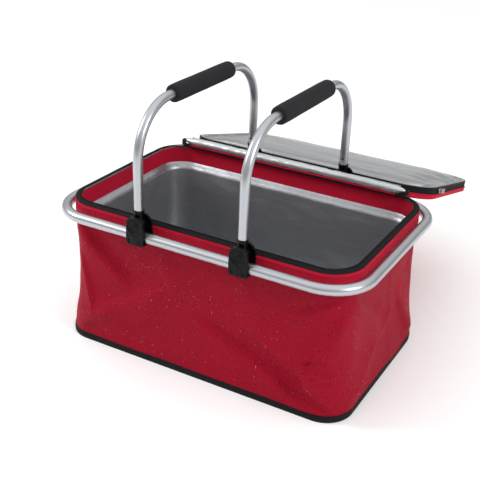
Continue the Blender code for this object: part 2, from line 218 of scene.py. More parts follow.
@dataclass(frozen=True)
class WovenPolyester:
    """Plain-weave coated polyester: a fine thread grid, slight shade drift and optional water drops with a
    painted highlight.
    """

    color: tuple[float, float, float, float]
    pitch: float = 0.55 * MM
    drops: bool = False

    def make(self, name: str) -> bpy.types.Material:
        """Builds the material; threads follow the UV map, which is in metres."""
        shade = Shade(name)
        uv, at = shade.place("UV"), shade.place()
        across = (shade.part(uv, "X") * (TAU / self.pitch)).sine()
        along = (shade.part(uv, "Y") * (TAU / self.pitch)).sine()
        weave = across * along
        drift = shade.noise(at, 9.0, 4.0, 0.6)
        slub = shade.noise(shade.stretched(uv, (60.0, 900.0, 1.0)), 1.0, 2.0)
        base = shade.mix(drift, darker(self.color, 0.84), darker(self.color, 1.12))
        tone = shade.mix(weave * 0.16 + slub * 0.22, base, darker(self.color, 0.55))
        rough = 0.55 + drift * 0.16 + weave * 0.04
        soft = shade.noise(at, 55.0, 3.0)
        normal = shade.bump(soft, 0.5 * MM, 0.5)
        normal = shade.bump(weave * 0.5 + slub * 0.5, 0.10 * MM, 0.7, normal)
        if self.drops:
            tone, rough, normal = self.wet(shade, at, tone, rough, normal)
        shade.set(
            Base_Color=tone, Roughness=rough, Normal=normal,
            Sheen_Weight=0.02, Sheen_Roughness=0.4, Sheen_Tint=(1.0, 0.4, 0.5, 1.0),
            Specular_IOR_Level=0.09,
        )
        return shade.material

    def wet(self, shade: Shade, at: Wire, tone: Wire, rough: Wire, normal: Wire) -> tuple[Wire, Wire, Wire]:
        """Scattered water beads: domes inside chosen cells, smooth, and brightened as a painted highlight."""
        patch = shade.noise(at, 14.0, 2.0)
        result = (tone, rough, normal)
        for scale, size, share in ((210.0, 0.30, 0.80), (420.0, 0.30, 0.86)):
            near = shade.cells(at, scale)
            pick = shade.part(shade.cells(at, scale, "Color"), "X")
            chosen = (pick * 0.75 + patch * 0.5).above(share, 0.02)
            dome = near.below(size * 0.7, size * 0.9) * chosen
            # Each bead's footprint is made smoother and mixed towards a brighter red below, which is a
            # painted highlight.
            edge = near.below(size, 0.06) * chosen
            tone, rough, normal = result
            result = (
                shade.mix(edge * 0.30, tone, darker(self.color, 1.25)),
                rough * (1 - edge * 0.85),
                shade.bump(dome, 1.3 * MM, 1.0, normal),
            )
        return result


@dataclass(frozen=True)
class Webbing:
    """Ribbed narrow tape: ribs across its length, matte."""

    color: tuple[float, float, float, float]
    rib: float = 1.1 * MM

    def make(self, name: str) -> bpy.types.Material:
        """Builds the material; ribs run across the UV map's first axis."""
        shade = Shade(name)
        uv, at = shade.place("UV"), shade.place()
        ribs = (shade.part(uv, "X") * (TAU / self.rib)).sine()
        threads = (shade.part(uv, "Y") * (TAU / (0.6 * MM))).sine()
        wear = shade.noise(at, 40.0, 4.0, 0.65)
        height = ribs * 0.35 + threads * 0.2 + wear * 0.5
        tone = shade.mix(wear.above(0.5, 0.5) * 0.5 + ribs * 0.1, self.color, darker(self.color, 1.9))
        shade.set(
            Base_Color=tone, Roughness=0.62 + wear * 0.2, Normal=shade.bump(height, 0.2 * MM, 0.7),
            Specular_IOR_Level=0.22,
        )
        return shade.material


@dataclass(frozen=True)
class Foil:
    """Aluminised film on wadding: bright, with fine streaks along its length and small crinkles."""

    color: tuple[float, float, float, float] = field(default_factory=lambda: rgb(168, 170, 172))
    crinkle: float = 0.5
    metal: float = 0.85
    rough: float = 0.27

    def make(self, name: str) -> bpy.types.Material:
        """Builds the material from Object coordinates; streaks run along X."""
        shade = Shade(name)
        at = shade.place()
        streak = shade.noise(shade.stretched(at, (3.0, 260.0, 260.0)), 1.0, 4.0, 0.6)
        fold = shade.cells(shade.stretched(at, (26.0, 60.0, 60.0)), 1.0)
        fine = shade.noise(at, 160.0, 4.0, 0.6)
        tone = shade.mix(streak * 0.6 + fine * 0.25, self.color, darker(self.color, 0.72))
        normal = shade.bump(fold * 0.7 + fine * 0.4, 1.2 * MM, self.crinkle)
        normal = shade.bump(streak, 0.35 * MM, 0.5, normal)
        shade.set(
            Base_Color=tone, Metallic=self.metal, Roughness=self.rough + streak * 0.14 + fine * 0.08,
            Normal=normal,
        )
        return shade.material


@dataclass(frozen=True)
class SatinAluminium:
    """Satin anodised tube: fine draw lines along it and a faint cloudiness."""

    color: tuple[float, float, float, float] = field(default_factory=lambda: rgb(184, 187, 191))

    def make(self, name: str) -> bpy.types.Material:
        """Builds the material; draw lines follow the UV map's first axis, the tube's length."""
        shade = Shade(name)
        uv, at = shade.place("UV"), shade.place()
        lines = shade.noise(shade.stretched(uv, (8.0, 1600.0, 1.0)), 1.0, 3.0, 0.6)
        cloud = shade.noise(at, 22.0, 3.0)
        scuff = shade.noise(shade.stretched(uv, (120.0, 500.0, 1.0)), 1.0, 5.0, 0.7).above(0.68, 0.08)
        tone = shade.mix(lines * 0.35 + cloud * 0.25, self.color, darker(self.color, 0.82))
        shade.set(
            Base_Color=tone, Metallic=1.0, Roughness=0.25 + lines * 0.10 + cloud * 0.06 + scuff * 0.12,
            Normal=shade.bump(lines, 0.05 * MM, 0.35),
        )
        return shade.material


@dataclass(frozen=True)
class GripFoam:
    """Closed-cell foam: matte charcoal, pitted with fine pores."""

    color: tuple[float, float, float, float] = field(default_factory=lambda: rgb(36, 36, 39))

    def make(self, name: str) -> bpy.types.Material:
        """Builds the material from Object coordinates."""
        shade = Shade(name)
        at = shade.place()
        pores = shade.cells(at, 1500.0)
        lump = shade.noise(at, 420.0, 3.0, 0.6)
        drift = shade.noise(at, 35.0, 3.0)
        tone = shade.mix(lump * 0.5 + drift * 0.4, darker(self.color, 0.6), darker(self.color, 1.25))
        shade.set(
            Base_Color=tone, Roughness=0.80 + drift * 0.12,
            Normal=shade.bump(pores * 0.5 + lump * 0.8, 0.35 * MM, 0.6),
            Specular_IOR_Level=0.2,
        )
        return shade.material


@dataclass(frozen=True)
class MouldedNylon:
    """Black moulded nylon with a fine spark-eroded grain and slightly rubbed high spots."""

    color: tuple[float, float, float, float] = field(default_factory=lambda: rgb(4, 4, 5))
    gloss: float = 0.27

    def make(self, name: str) -> bpy.types.Material:
        """Builds the material from Object coordinates."""
        shade = Shade(name)
        at = shade.place()
        grain = shade.noise(at, 900.0, 3.0, 0.6)
        flow = shade.noise(at, 60.0, 3.0)
        tone = shade.mix(flow * 0.5 + grain * 0.25, darker(self.color, 0.75), darker(self.color, 1.35))
        shade.set(
            Base_Color=tone, Roughness=self.gloss + grain * 0.12 + flow * 0.08,
            Normal=shade.bump(grain, 0.08 * MM, 0.35), Specular_IOR_Level=0.16,
        )
        return shade.material


@dataclass(frozen=True)
class PlainMetal:
    """Cast or drawn small metal parts: lightly tumbled, with dull hollows."""

    color: tuple[float, float, float, float] = field(default_factory=lambda: rgb(150, 150, 154))

    def make(self, name: str) -> bpy.types.Material:
        """Builds the material from Object coordinates."""
        shade = Shade(name)
        at = shade.place()
        tumble = shade.noise(at, 300.0, 4.0, 0.6)
        tone = shade.mix(tumble, darker(self.color, 0.75), self.color)
        shade.set(
            Base_Color=tone, Metallic=1.0, Roughness=0.28 + tumble * 0.2,
            Normal=shade.bump(tumble, 0.08 * MM, 0.4),
        )
        return shade.material


@dataclass(frozen=True)
class WaterDrop:
    """A drop on red cloth: it takes the cloth's colour, brightened as a painted highlight, under a wet shine.
    """

    color: tuple[float, float, float, float]

    def make(self, name: str) -> bpy.types.Material:
        """Builds the material from Object coordinates."""
        shade = Shade(name)
        drift = shade.noise(shade.place(), 120.0, 2.0)
        # Painted highlight: the drop's colour runs from 0.9 to 1.7 times the cloth's.
        tone = shade.mix(drift, darker(self.color, 0.9), darker(self.color, 1.7))
        shade.set(Base_Color=tone, Roughness=0.10 + drift * 0.08, Specular_IOR_Level=0.6)
        return shade.material


RED_SHELL = rgb(147, 8, 35)
RED_TRIM = rgb(188, 24, 52)
BLACK_TAPE = rgb(8, 8, 9)


class Finish(Enum):
    """The bag's finishes, one material each."""

    RED_WALL = WovenPolyester(RED_SHELL, drops=True)
    RED_CLOTH = WovenPolyester(RED_TRIM)
    BLACK_WEBBING = Webbing(BLACK_TAPE)
    ZIP_COIL = MouldedNylon(rgb(12, 12, 13), 0.25)
    LID_FOIL = Foil(rgb(176, 178, 180), crinkle=0.55, metal=0.8, rough=0.24)
    ROLL_FOIL = Foil(rgb(205, 206, 209), crinkle=0.3, metal=0.8)
    LINING = Foil(rgb(176, 178, 182), crinkle=0.8)
    TUBE = SatinAluminium()
    FOAM = GripFoam()
    NYLON = MouldedNylon()
    ZINC = PlainMetal()
    THREAD_RED = WovenPolyester(rgb(170, 30, 55), 0.3 * MM)
    THREAD_BLACK = Webbing(rgb(22, 22, 24), 0.4 * MM)
    WATER = WaterDrop(RED_SHELL)
    WADDING = WovenPolyester(rgb(225, 225, 220), 1.2 * MM)

    @property
    def material(self) -> bpy.types.Material:
        """The finish's material, built the first time it is asked for."""
        name = f"{self.name.lower()}_finish"
        return bpy.data.materials.get(name) or self.value.make(name)


# ---- surfaces --------------------------------------------------------------------------------------


@dataclass
class Surface:
    """Grids of points gathered into one mesh, each with its UV map in metres."""

    name: str
    points: list[Array] = field(default_factory=list)
    faces: list[list[int]] = field(default_factory=list)
    corners: list[Array] = field(default_factory=list)
    count: int = 0

    def grid(
        self, points: Array, uv: Array | None = None, wrap_u: bool = False, wrap_v: bool = False,
        cap: bool = False, flip: bool = False, solid: bool = True,
    ) -> "Surface":
        """Adds a grid of shape (rows, columns, 3).

        Args:
            points: the places; rows run along u and columns along v.
            uv: a pair for each grid line, one more along a wrapped axis; worked out when None.
            wrap_u: joins the last row to the first.
            wrap_v: joins the last column to the first.
            cap: closes the first and last rows with a fan each.
            flip: turns an open grid's faces round.
            solid: turns a closed grid's faces outwards by its signed volume.

        Returns:
            The surface itself, for chaining.
        """
        rows, cols = points.shape[:2]
        if uv is None:
            uv = metric_uv(points, wrap_u, wrap_v)
        row = np.arange(rows if wrap_u else rows - 1)
        col = np.arange(cols if wrap_v else cols - 1)
        r, c = (a.ravel() for a in np.meshgrid(row, col, indexing="ij"))
        steps = ((0, 0), (1, 0), (1, 1), (0, 1))
        quads = np.stack([((r + i) % rows) * cols + (c + j) % cols for i, j in steps], 1)
        quad_uv = np.stack([uv[r + i, c + j] for i, j in steps], 1)
        places = points.reshape(-1, 3)
        tris = np.zeros((0, 3), int)
        tri_uv = np.zeros((0, 3, 2))
        if cap:
            around = np.arange(cols)
            after = (around + 1) % cols
            centres = np.stack([points[0].mean(0), points[-1].mean(0)])
            places = np.vstack([places, centres])
            first, last = rows * cols, rows * cols + 1
            low = np.stack([np.full(cols, first), around, after], 1)
            end = (rows - 1) * cols
            high = np.stack([np.full(cols, last), after + end, around + end], 1)
            tris = np.vstack([low, high])
            tri_uv = np.concatenate([np.stack([row] * 3, 1) for row in (uv[0, :cols], uv[-1, :cols])])
        closed = solid and (cap or wrap_u) and wrap_v
        if closed:
            whole = np.vstack([quads[:, [0, 1, 2]], quads[:, [0, 2, 3]], tris])
            a, b, d = (places[whole[:, k]] for k in range(3))
            flip = float(np.einsum("ij,ij->i", a, np.cross(b, d)).sum()) < 0
        if flip:
            quads, quad_uv = quads[:, ::-1], quad_uv[:, ::-1]
            tris, tri_uv = tris[:, ::-1], tri_uv[:, ::-1]
        self.points.append(places)
        self.faces += (quads + self.count).tolist() + (tris + self.count).tolist()
        self.corners += [quad_uv.reshape(-1, 2), tri_uv.reshape(-1, 2)]
        self.count += len(places)
        return self

    def copies(self, points: Array, quads: Array, tris: Array) -> "Surface":
        """Adds many copies of one small closed shape; points has shape (copies, points, 3)."""
        copies, each = points.shape[:2]
        shift = self.count + each * np.arange(copies)[:, None, None]
        self.points.append(points.reshape(-1, 3))
        self.faces += (quads[None] + shift).reshape(-1, 4).tolist()
        self.corners.append(np.zeros((copies * len(quads) * 4, 2)))
        if len(tris):
            self.faces += (tris[None] + shift).reshape(-1, 3).tolist()
            self.corners.append(np.zeros((copies * len(tris) * 3, 2)))
        self.count += copies * each
        return self

    def build(self, finish: Finish, sharp: float = 40.0) -> bpy.types.Object:
        """Makes the object, smooth except over edges sharper than that many degrees."""
        mesh = bpy.data.meshes.new(self.name)
        mesh.from_pydata(np.vstack(self.points).tolist(), [], self.faces)
        layer = mesh.uv_layers.new(name="cloth")
        layer.data.foreach_set("uv", np.concatenate(self.corners).astype(np.float32).ravel())
        mesh.validate()
        mesh.shade_smooth()
        mesh.set_sharp_from_angle(angle=math.radians(sharp))
        mesh.materials.append(finish.material)
        made = bpy.data.objects.new(self.name, mesh)
        bpy.context.scene.collection.objects.link(made)
        return made


def metric_uv(points: Array, wrap_u: bool, wrap_v: bool) -> Array:
    """Distances run along a grid's middle row and middle column, as a UV map in metres."""
    whole = points
    if wrap_u:
        whole = np.concatenate([whole, whole[:1]], 0)
    if wrap_v:
        whole = np.concatenate([whole, whole[:, :1]], 1)
    step_u = np.linalg.norm(np.diff(whole, axis=0), axis=2).mean(1)
    step_v = np.linalg.norm(np.diff(whole, axis=1), axis=2).mean(0)
    u = np.concatenate([[0], np.cumsum(step_u)])
    v = np.concatenate([[0], np.cumsum(step_v)])
    return np.stack(np.meshgrid(u, v, indexing="ij"), 2)


def unit(vectors: Array) -> Array:
    """Each row scaled to length one."""
    return vectors / np.maximum(np.linalg.norm(vectors, axis=1, keepdims=True), 1e-9)


def run_along(places: Array) -> Array:
    """Distance run along a line of places, from 0 at the first."""
    return np.concatenate([[0], np.cumsum(np.linalg.norm(np.diff(places, axis=0), axis=1))])


def at_height(flat: Array, height: float) -> Array:
    """Flat (x, y) rows given one height as their third value."""
    return np.concatenate([flat, np.full((len(flat), 1), height)], 1)


def through(knots: Sequence[Sequence[float]], count: int) -> tuple[Array, Array, Array]:
    """A polynomial through the knots, one power fewer than their number, by distance run along them.

    Returns:
        Places on the curve, unit directions along it, and each place's share of the run.
    """
    known = np.array(knots)
    run = run_along(known)
    at = np.linspace(0, run[-1], count)
    line = np.stack([np.polyval(np.polyfit(run, column, len(known) - 1), at) for column in known.T], 1)
    return line, unit(np.gradient(line, axis=0)), at / run[-1]


def thickened(piece: bpy.types.Object, thickness: float) -> bpy.types.Object:
    """Gives an open sheet its thickness, inwards."""
    wall = piece.modifiers.new("Cloth thickness", "SOLIDIFY")
    wall.thickness = thickness
    wall.offset = -1
    return piece


def rounded(
    half_x: float | Array, half_y: float | Array, corner: float | Array,
    long: int = 120, short: int = 72, arc: int = 20,
) -> tuple[Array, Array]:
    """A rounded rectangle, anticlockwise from the middle of the right side.

    Straight stretches are linear in their share, corners are quarter circles; sizes may be
    arrays of shape (rows, 1), which gives one outline for each row.

    Returns:
        Points and outward normals, each of shape (rows or 1, columns, 2).
    """
    half_x, half_y, corner = (
        np.atleast_2d(np.asarray(a, float)).reshape(-1, 1) for a in (half_x, half_y, corner)
    )
    rise = np.linspace(0, 1, short // 2, endpoint=False)[None]
    run = np.linspace(-1, 1, long, endpoint=False)[None]
    turn = (np.linspace(0, TAU / 4, arc, endpoint=False))[None]
    one = np.ones_like(half_x)
    inner_x, inner_y = half_x - corner, half_y - corner
    xs, ys, nx, ny = [], [], [], []

    def straight(x: Array, y: Array, normal: tuple[float, float]) -> None:
        """Adds a straight stretch."""
        xs.append(x + 0 * y), ys.append(y + 0 * x)
        nx.append(np.full_like(xs[-1], normal[0])), ny.append(np.full_like(xs[-1], normal[1]))

    def bend(side_x: float, side_y: float, start: float) -> None:
        """Adds a corner."""
        angle = turn + start * one
        xs.append(side_x * inner_x + corner * np.cos(angle))
        ys.append(side_y * inner_y + corner * np.sin(angle))
        nx.append(np.cos(angle)), ny.append(np.sin(angle))

    straight(half_x, inner_y * rise, (1, 0))
    bend(1, 1, 0)
    straight(-inner_x * run, half_y, (0, 1))
    bend(-1, 1, TAU / 4)
    straight(-half_x, -inner_y * np.linspace(-1, 1, short, endpoint=False)[None], (-1, 0))
    bend(-1, -1, TAU / 2)
    straight(inner_x * run, -half_y, (0, -1))
    bend(1, -1, TAU * 3 / 4)
    straight(half_x, inner_y * (rise - 1), (1, 0))
    return np.stack([np.hstack(xs), np.hstack(ys)], 2), np.stack([np.hstack(nx), np.hstack(ny)], 2)


def carried(profile: Array, outline: tuple[Array, Array], lift: float = 0.0) -> Array:
    """A closed profile carried round an outline; profile columns are outward and up.

    Returns:
        Points of shape (outline, profile, 3).
    """
    at, out = outline[0][0][:, None], outline[1][0][:, None]
    flat = at + out * profile[None, :, :1]
    up = np.broadcast_to(profile[None, :, 1:] + lift, flat.shape[:2] + (1,))
    return np.concatenate([flat, up], 2)


def capsule(width: float, height: float, count: int = 16, flat: float = 0.5) -> Array:
    """A closed rounded-box profile by superellipse: |x/a|^n + |y/b|^n = 1, as (out, up)."""
    turn = np.linspace(0, TAU, count, endpoint=False)
    cos, sin = np.cos(turn), np.sin(turn)
    x = np.sign(cos) * np.abs(cos) ** flat * width / 2
    y = np.sign(sin) * np.abs(sin) ** flat * height / 2
    return np.stack([x, y], 1)


def tube(path: Array, radius: float | Array, sides: int = 32, up: Sequence[float] = (1, 0, 0)) -> Array:
    """Circles along a path that lies across `up`: point + r (cos a · side + sin a · up)."""
    axis = np.broadcast_to(np.asarray(up, float), path.shape)
    side = unit(np.cross(unit(np.gradient(path, axis=0)), axis))
    turn = np.linspace(0, TAU, sides, endpoint=False)[None, :, None]
    size = np.asarray(radius, float).reshape(-1, 1, 1)
    return path[:, None] + size * (np.cos(turn) * side[:, None] + np.sin(turn) * axis[:, None])


def turned(profile: Array, centre: Sequence[float], axis: int, sides: int = 48) -> Array:
    """A profile of (radius, height) turned about an axis through the centre."""
    turn = np.linspace(0, TAU, sides, endpoint=False)[None, :]
    radius, height = profile[:, :1], profile[:, 1:]
    flat = [radius * np.cos(turn), radius * np.sin(turn)]
    flat.insert(axis, np.broadcast_to(height, flat[0].shape))
    return np.stack(flat, 2) + np.asarray(centre, float)


def ease(low: float, high: float, value: Array) -> Array:
    """0 under low, 1 over high and a smooth step between."""
    share = np.clip((value - low) / (high - low), 0, 1)
    return share * share * (3 - 2 * share)


def ripple(a: Array, b: Array, seed: int, waves: int = 7, scale: float = 1.0) -> Array:
    """Smooth random height, about -1 to 1: a sum of sines of both coordinates."""
    draw = np.random.default_rng(seed)
    total = np.zeros(np.broadcast(a, b).shape)
    for _ in range(waves):
        turn, pitch, phase = draw.uniform(0, TAU), draw.uniform(18, 60) * scale, draw.uniform(0, TAU)
        total += np.sin(pitch * (np.cos(turn) * a + np.sin(turn) * b) + phase)
    return total / waves ** 0.5 / 1.5


def stitch_row(surface: Surface, places: Array, normals: Array, pitch: float = 3.4 * MM) -> None:
    """Lays short thread stitches along a line of places, each a six-sided lozenge on the cloth."""
    run = run_along(places)
    spots = np.arange(pitch / 2, run[-1], pitch)
    at = np.stack([np.interp(spots, run, places[:, k]) for k in range(3)], 1)
    out = np.stack([np.interp(spots, run, normals[:, k]) for k in range(3)], 1)
    ahead = unit(np.stack([np.interp(spots + 1e-4, run, places[:, k]) for k in range(3)], 1) - at)
    side = np.cross(out, ahead)
    length, width, height = pitch * 0.36, 0.32 * MM, 0.32 * MM
    ring = []
    for share, size in ((-1, 0.35), (0, 1.0), (1, 0.35)):
        for angle in (0, TAU / 6, TAU / 3, TAU / 2, TAU * 2 / 3, TAU * 5 / 6):
            ring.append(
                at + ahead * share * length + side * width * size * math.cos(angle)
                + out * height * size * (math.sin(angle) + 0.2)
            )
    points = np.stack(ring, 1)
    quads = [
        [6 * r + k, 6 * r + (k + 1) % 6, 6 * r + 6 + (k + 1) % 6, 6 * r + 6 + k]
        for r in (0, 1) for k in range(6)
    ]
    ends = [[0, 5, 4, 3], [3, 2, 1, 0], [12, 13, 14, 15], [15, 16, 17, 12]]
    surface.copies(points, np.array(quads + ends), np.zeros((0, 3), int))


# ---- the bag's plan --------------------------------------------------------------------------------


@dataclass(frozen=True)
class BodyForm:
    """The body's plan at every height: half length, half depth and corner radius."""

    heights: tuple[float, ...] = (0.0, 115 * MM, 195 * MM)
    half_x: tuple[float, ...] = (225 * MM, 219.5 * MM, 220.5 * MM)
    half_y: tuple[float, ...] = (144.5 * MM, 138.5 * MM, 141.5 * MM)
    corner: tuple[float, ...] = (40 * MM, 45 * MM, 47.5 * MM)
    rim_z: float = 195 * MM

    def sizes(self, height: Array, inset: float = 0.0) -> list[Array]:
        """Half length, half depth and corner: a parabola through the sizes at foot, waist and rim."""
        at = np.minimum(height, self.rim_z)
        known = (self.half_x, self.half_y, self.corner)
        return [np.polyval(np.polyfit(self.heights, row, 2), at) - inset for row in known]

    def outline(self, height: Array, inset: float = 0.0, **steps: int) -> tuple[Array, Array]:
        """Outlines and their outward normals, one row for each height."""
        return rounded(*self.sizes(height, inset), **steps)


FORM = BodyForm()
RIM = (220.5 * MM, 141.5 * MM, 47.5 * MM)
RING = (232 * MM, 154 * MM, 58 * MM)
RING_Z = 201.4 * MM
RING_RADIUS = 7.5 * MM
PIVOT_X = 78.7 * MM
PIVOT_Z = 218.9 * MM
RAIL_Y = 154 * MM


def inset(sizes: tuple[float, float, float], by: float) -> tuple[float, float, float]:
    """A rounded rectangle's sizes moved in on every side."""
    return (sizes[0] - by, sizes[1] - by, sizes[2] - by)


def settle(piece: bpy.types.Object, body: str, *nodes: str, slot: str = "") -> bpy.types.Object:
    """Puts a finished piece on its body and hides the frame nodes it stands for.

    Args:
        piece: the piece.
        body: the body it moves with.
        nodes: the nodes it replaces.
        slot: not used.

    Returns:
        The piece.
    """
    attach(piece, body)
    if nodes:
        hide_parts(*nodes)
    LOG.info("%s rides on %s", piece.name, body)
    return piece


def collapse(piece: bpy.types.Object) -> bpy.types.Object:
    """Gives a soft wall piece its own copy of its mesh data."""
    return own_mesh(piece)


# ---- body ------------------------------------------------------------------------------------------


@dataclass(frozen=True)
class Fold:
    """A crease in a wall from one (along, up) place to another: height, width and lean."""

    start: tuple[float, float]
    end: tuple[float, float]
    height: float
    width: float
    lean: float = 0.0
    strength: float = 1.3

    def height_at(self, along: Array, up: Array) -> Array:
        """Height over the wall: falls off as exp(-distance / width) from a rounded crest.

        A lean adds a step across the crest, so that the two sides face different ways.
        """
        a, b = np.array(self.start), np.array(self.end)
        run = b - a
        length = float(np.hypot(*run))
        share = ((along - a[0]) * run[0] + (up - a[1]) * run[1]) / length ** 2
        off = ((along - a[0]) * -run[1] + (up - a[1]) * run[0]) / length
        crest = np.exp(-(np.sqrt(off ** 2 + (1.6 * MM) ** 2) - 1.6 * MM) / self.width)
        side = np.tanh(off / (0.5 * self.width)) * np.exp(-((off / (2.2 * self.width)) ** 2))
        ends = ease(-0.18, 0.22, share) * (1 - ease(0.80, 1.15, share))
        return self.height * self.strength * ends * (crest + self.lean * side)


FRONT_FOLDS = (
    Fold((-0.206, 0.192), (-0.105, 0.108), -4.2 * MM, 13 * MM, 1.1),
    Fold((-0.192, 0.135), (-0.171, 0.050), 2.2 * MM, 5 * MM, -0.9),
    Fold((-0.176, 0.046), (-0.050, 0.122), 3.6 * MM, 16 * MM, -1.0),
    Fold((-0.206, 0.006), (-0.140, 0.060), 2.6 * MM, 13 * MM, 0.8),
    Fold((0.010, 0.086), (0.124, 0.043), -3.2 * MM, 8 * MM, 1.1),
    Fold((0.118, 0.046), (0.205, 0.000), -3.6 * MM, 8 * MM, 1.1),
    Fold((0.080, 0.104), (0.175, 0.047), 3.0 * MM, 10 * MM, 1.0),
    Fold((0.168, 0.042), (0.221, 0.178), 4.6 * MM, 11 * MM, -1.0),
    Fold((0.160, 0.070), (0.212, 0.008), 4.2 * MM, 9 * MM, 1.0),
    Fold((0.162, 0.072), (0.206, 0.068), -2.2 * MM, 3.6 * MM, 0.8),
    Fold((0.170, 0.079), (0.196, 0.091), -1.7 * MM, 3.0 * MM, -0.8),
    Fold((0.180, 0.060), (0.204, 0.050), -1.5 * MM, 3.2 * MM, 0.6),
    Fold((0.150, 0.145), (0.214, 0.184), -2.2 * MM, 6 * MM, 0.9),
    Fold((0.160, 0.168), (0.200, 0.158), 1.2 * MM, 5 * MM, 0.5),
    Fold((-0.070, 0.190), (-0.030, 0.110), 1.4 * MM, 14 * MM, 0.5),
    Fold((0.060, 0.190), (0.110, 0.120), 1.4 * MM, 14 * MM, -0.5),
    Fold((-0.120, 0.010), (-0.020, 0.050), -1.6 * MM, 14 * MM, 0.6),
)
BACK_FOLDS = (
    Fold((0.205, 0.188), (0.110, 0.090), -4.0 * MM, 13 * MM, 1.0),
    Fold((0.195, 0.010), (0.060, 0.120), 3.4 * MM, 14 * MM, 1.0),
    Fold((0.040, 0.110), (-0.190, 0.004), -3.6 * MM, 11 * MM, -1.0),
    Fold((-0.165, 0.055), (-0.212, 0.180), 3.8 * MM, 11 * MM, -1.0),
    Fold((-0.120, 0.065), (-0.190, 0.090), -1.4 * MM, 7 * MM, 0.4),
    Fold((0.010, 0.180), (-0.020, 0.060), 1.2 * MM, 13 * MM, 0.3),
    Fold((0.100, 0.006), (0.020, 0.060), -1.3 * MM, 13 * MM, 0.4),
)
END_FOLDS = (
    Fold((-0.110, 0.185), (-0.020, 0.110), -2.8 * MM, 10 * MM, 0.9),
    Fold((-0.100, 0.010), (-0.015, 0.080), 3.2 * MM, 12 * MM, 0.9),
    Fold((0.110, 0.012), (0.045, 0.110), 3.0 * MM, 12 * MM, -0.9),
    Fold((0.100, 0.185), (0.050, 0.090), -1.8 * MM, 12 * MM, 0.5),
    Fold((0.030, 0.110), (-0.070, 0.020), 1.4 * MM, 9 * MM, 0.5),
)


@dataclass
class Cover:
    """The red outer walls: a front and a back half sewn together up the middle of each end."""

    foot: float = 1.5 * MM
    top: float = 194.3 * MM
    thickness: float = 1.2 * MM
    rows: int = 92
    seam_gap: float = 0.15 * MM

    def seam_lean(self, height: Array) -> Array:
        """How far the end seam wanders off the middle of its end: it leans back towards the foot."""
        return (8 * MM + (170 * MM - height) * 0.17) * ease(0, 30 * MM, self.top - height) * 0.9

    def relief(self, places: Array, out: Array) -> Array:
        """Height of creases and slack at each place, held to nothing where the cloth is sewn."""
        x, y, z = places[..., 0], places[..., 1], places[..., 2]
        on_long = np.clip(np.abs(out[..., 1]), 0, 1) ** 2
        long_side = np.where(
            out[..., 1] < 0,
            sum(fold.height_at(x, z) for fold in FRONT_FOLDS),
            sum(fold.height_at(x, z) for fold in BACK_FOLDS),
        )
        mirror = np.where(x > 0, 1.0, -1.0)
        end_side = sum(fold.height_at(y * mirror, z) for fold in END_FOLDS)
        slack = 0.7 * MM * ripple(x + y, z * 0.7, 11, 9, 0.9) + 0.28 * MM * ripple(x - y, z, 5, 9, 2.6)
        off_seam = np.abs(y - self.seam_lean(z)) / (3 * MM)
        seam = 1.1 * MM * np.exp(-(off_seam ** 1.5)) * (1 - on_long)
        pull = 0.5 * MM * np.sin(x * TAU / 0.031) * ease(165 * MM, 195 * MM, z) * on_long
        held = ease(0, 26 * MM, z - 6 * MM) * ease(0, 12 * MM, self.top + 1 * MM - z)
        flare = 2.4 * MM * ease(0, 60 * MM, 60 * MM - z) * ease(0, 8 * MM, z)
        return (on_long * long_side + (1 - on_long) * end_side + slack + pull) * held + seam * held + flare

    def wall(self, front: bool) -> tuple[Array, Array]:
        """Points and normals of one half, rows from foot to top."""
        z = np.linspace(self.foot, self.top, self.rows)
        at, out = FORM.outline(z, long=190, short=76, arc=26)
        half = at.shape[1] // 2
        if front:
            at = np.concatenate([at[:, half:], at[:, :1]], 1)
            out = np.concatenate([out[:, half:], out[:, :1]], 1)
        else:
            at, out = at[:, :half + 1], out[:, :half + 1]
        side = -1 if front else 1
        at = at.copy()
        at[:, [0, -1], 1] = side * self.seam_gap
        height = np.broadcast_to(z[:, None], at.shape[:2])
        near = np.clip(1 - np.abs(at[..., 1]) / 96e-3, 0, 1)
        at[..., 1] += self.seam_lean(height) * near * np.abs(out[..., 0]) ** 2
        places = np.concatenate([at, height[..., None]], 2)
        normals = np.concatenate([out, np.zeros(out.shape[:2] + (1,))], 2)
        return places + normals * self.relief(places, normals)[..., None], normals

    def build(self) -> None:
        """Makes both halves and the rows of stitches beside their end seams and along the hem."""
        stitches = Surface("cover_stitching")
        for front in (True, False):
            name = "front" if front else "back"
            places, normals = self.wall(front)
            half = Surface(f"wall_{name}").grid(places, flip=True).build(Finish.RED_WALL, 60)
            thickened(half, self.thickness)
            settle(half, "base", f"cover_{name}")
            collapse(half)
            for column in (2, -3):
                stitch_row(stitches, places[4:-2, column], normals[4:-2, column])
            stitch_row(stitches, places[-3], normals[-3], 3.6 * MM)
        collapse(settle(stitches.build(Finish.THREAD_RED), "base", slot="cover_front"))


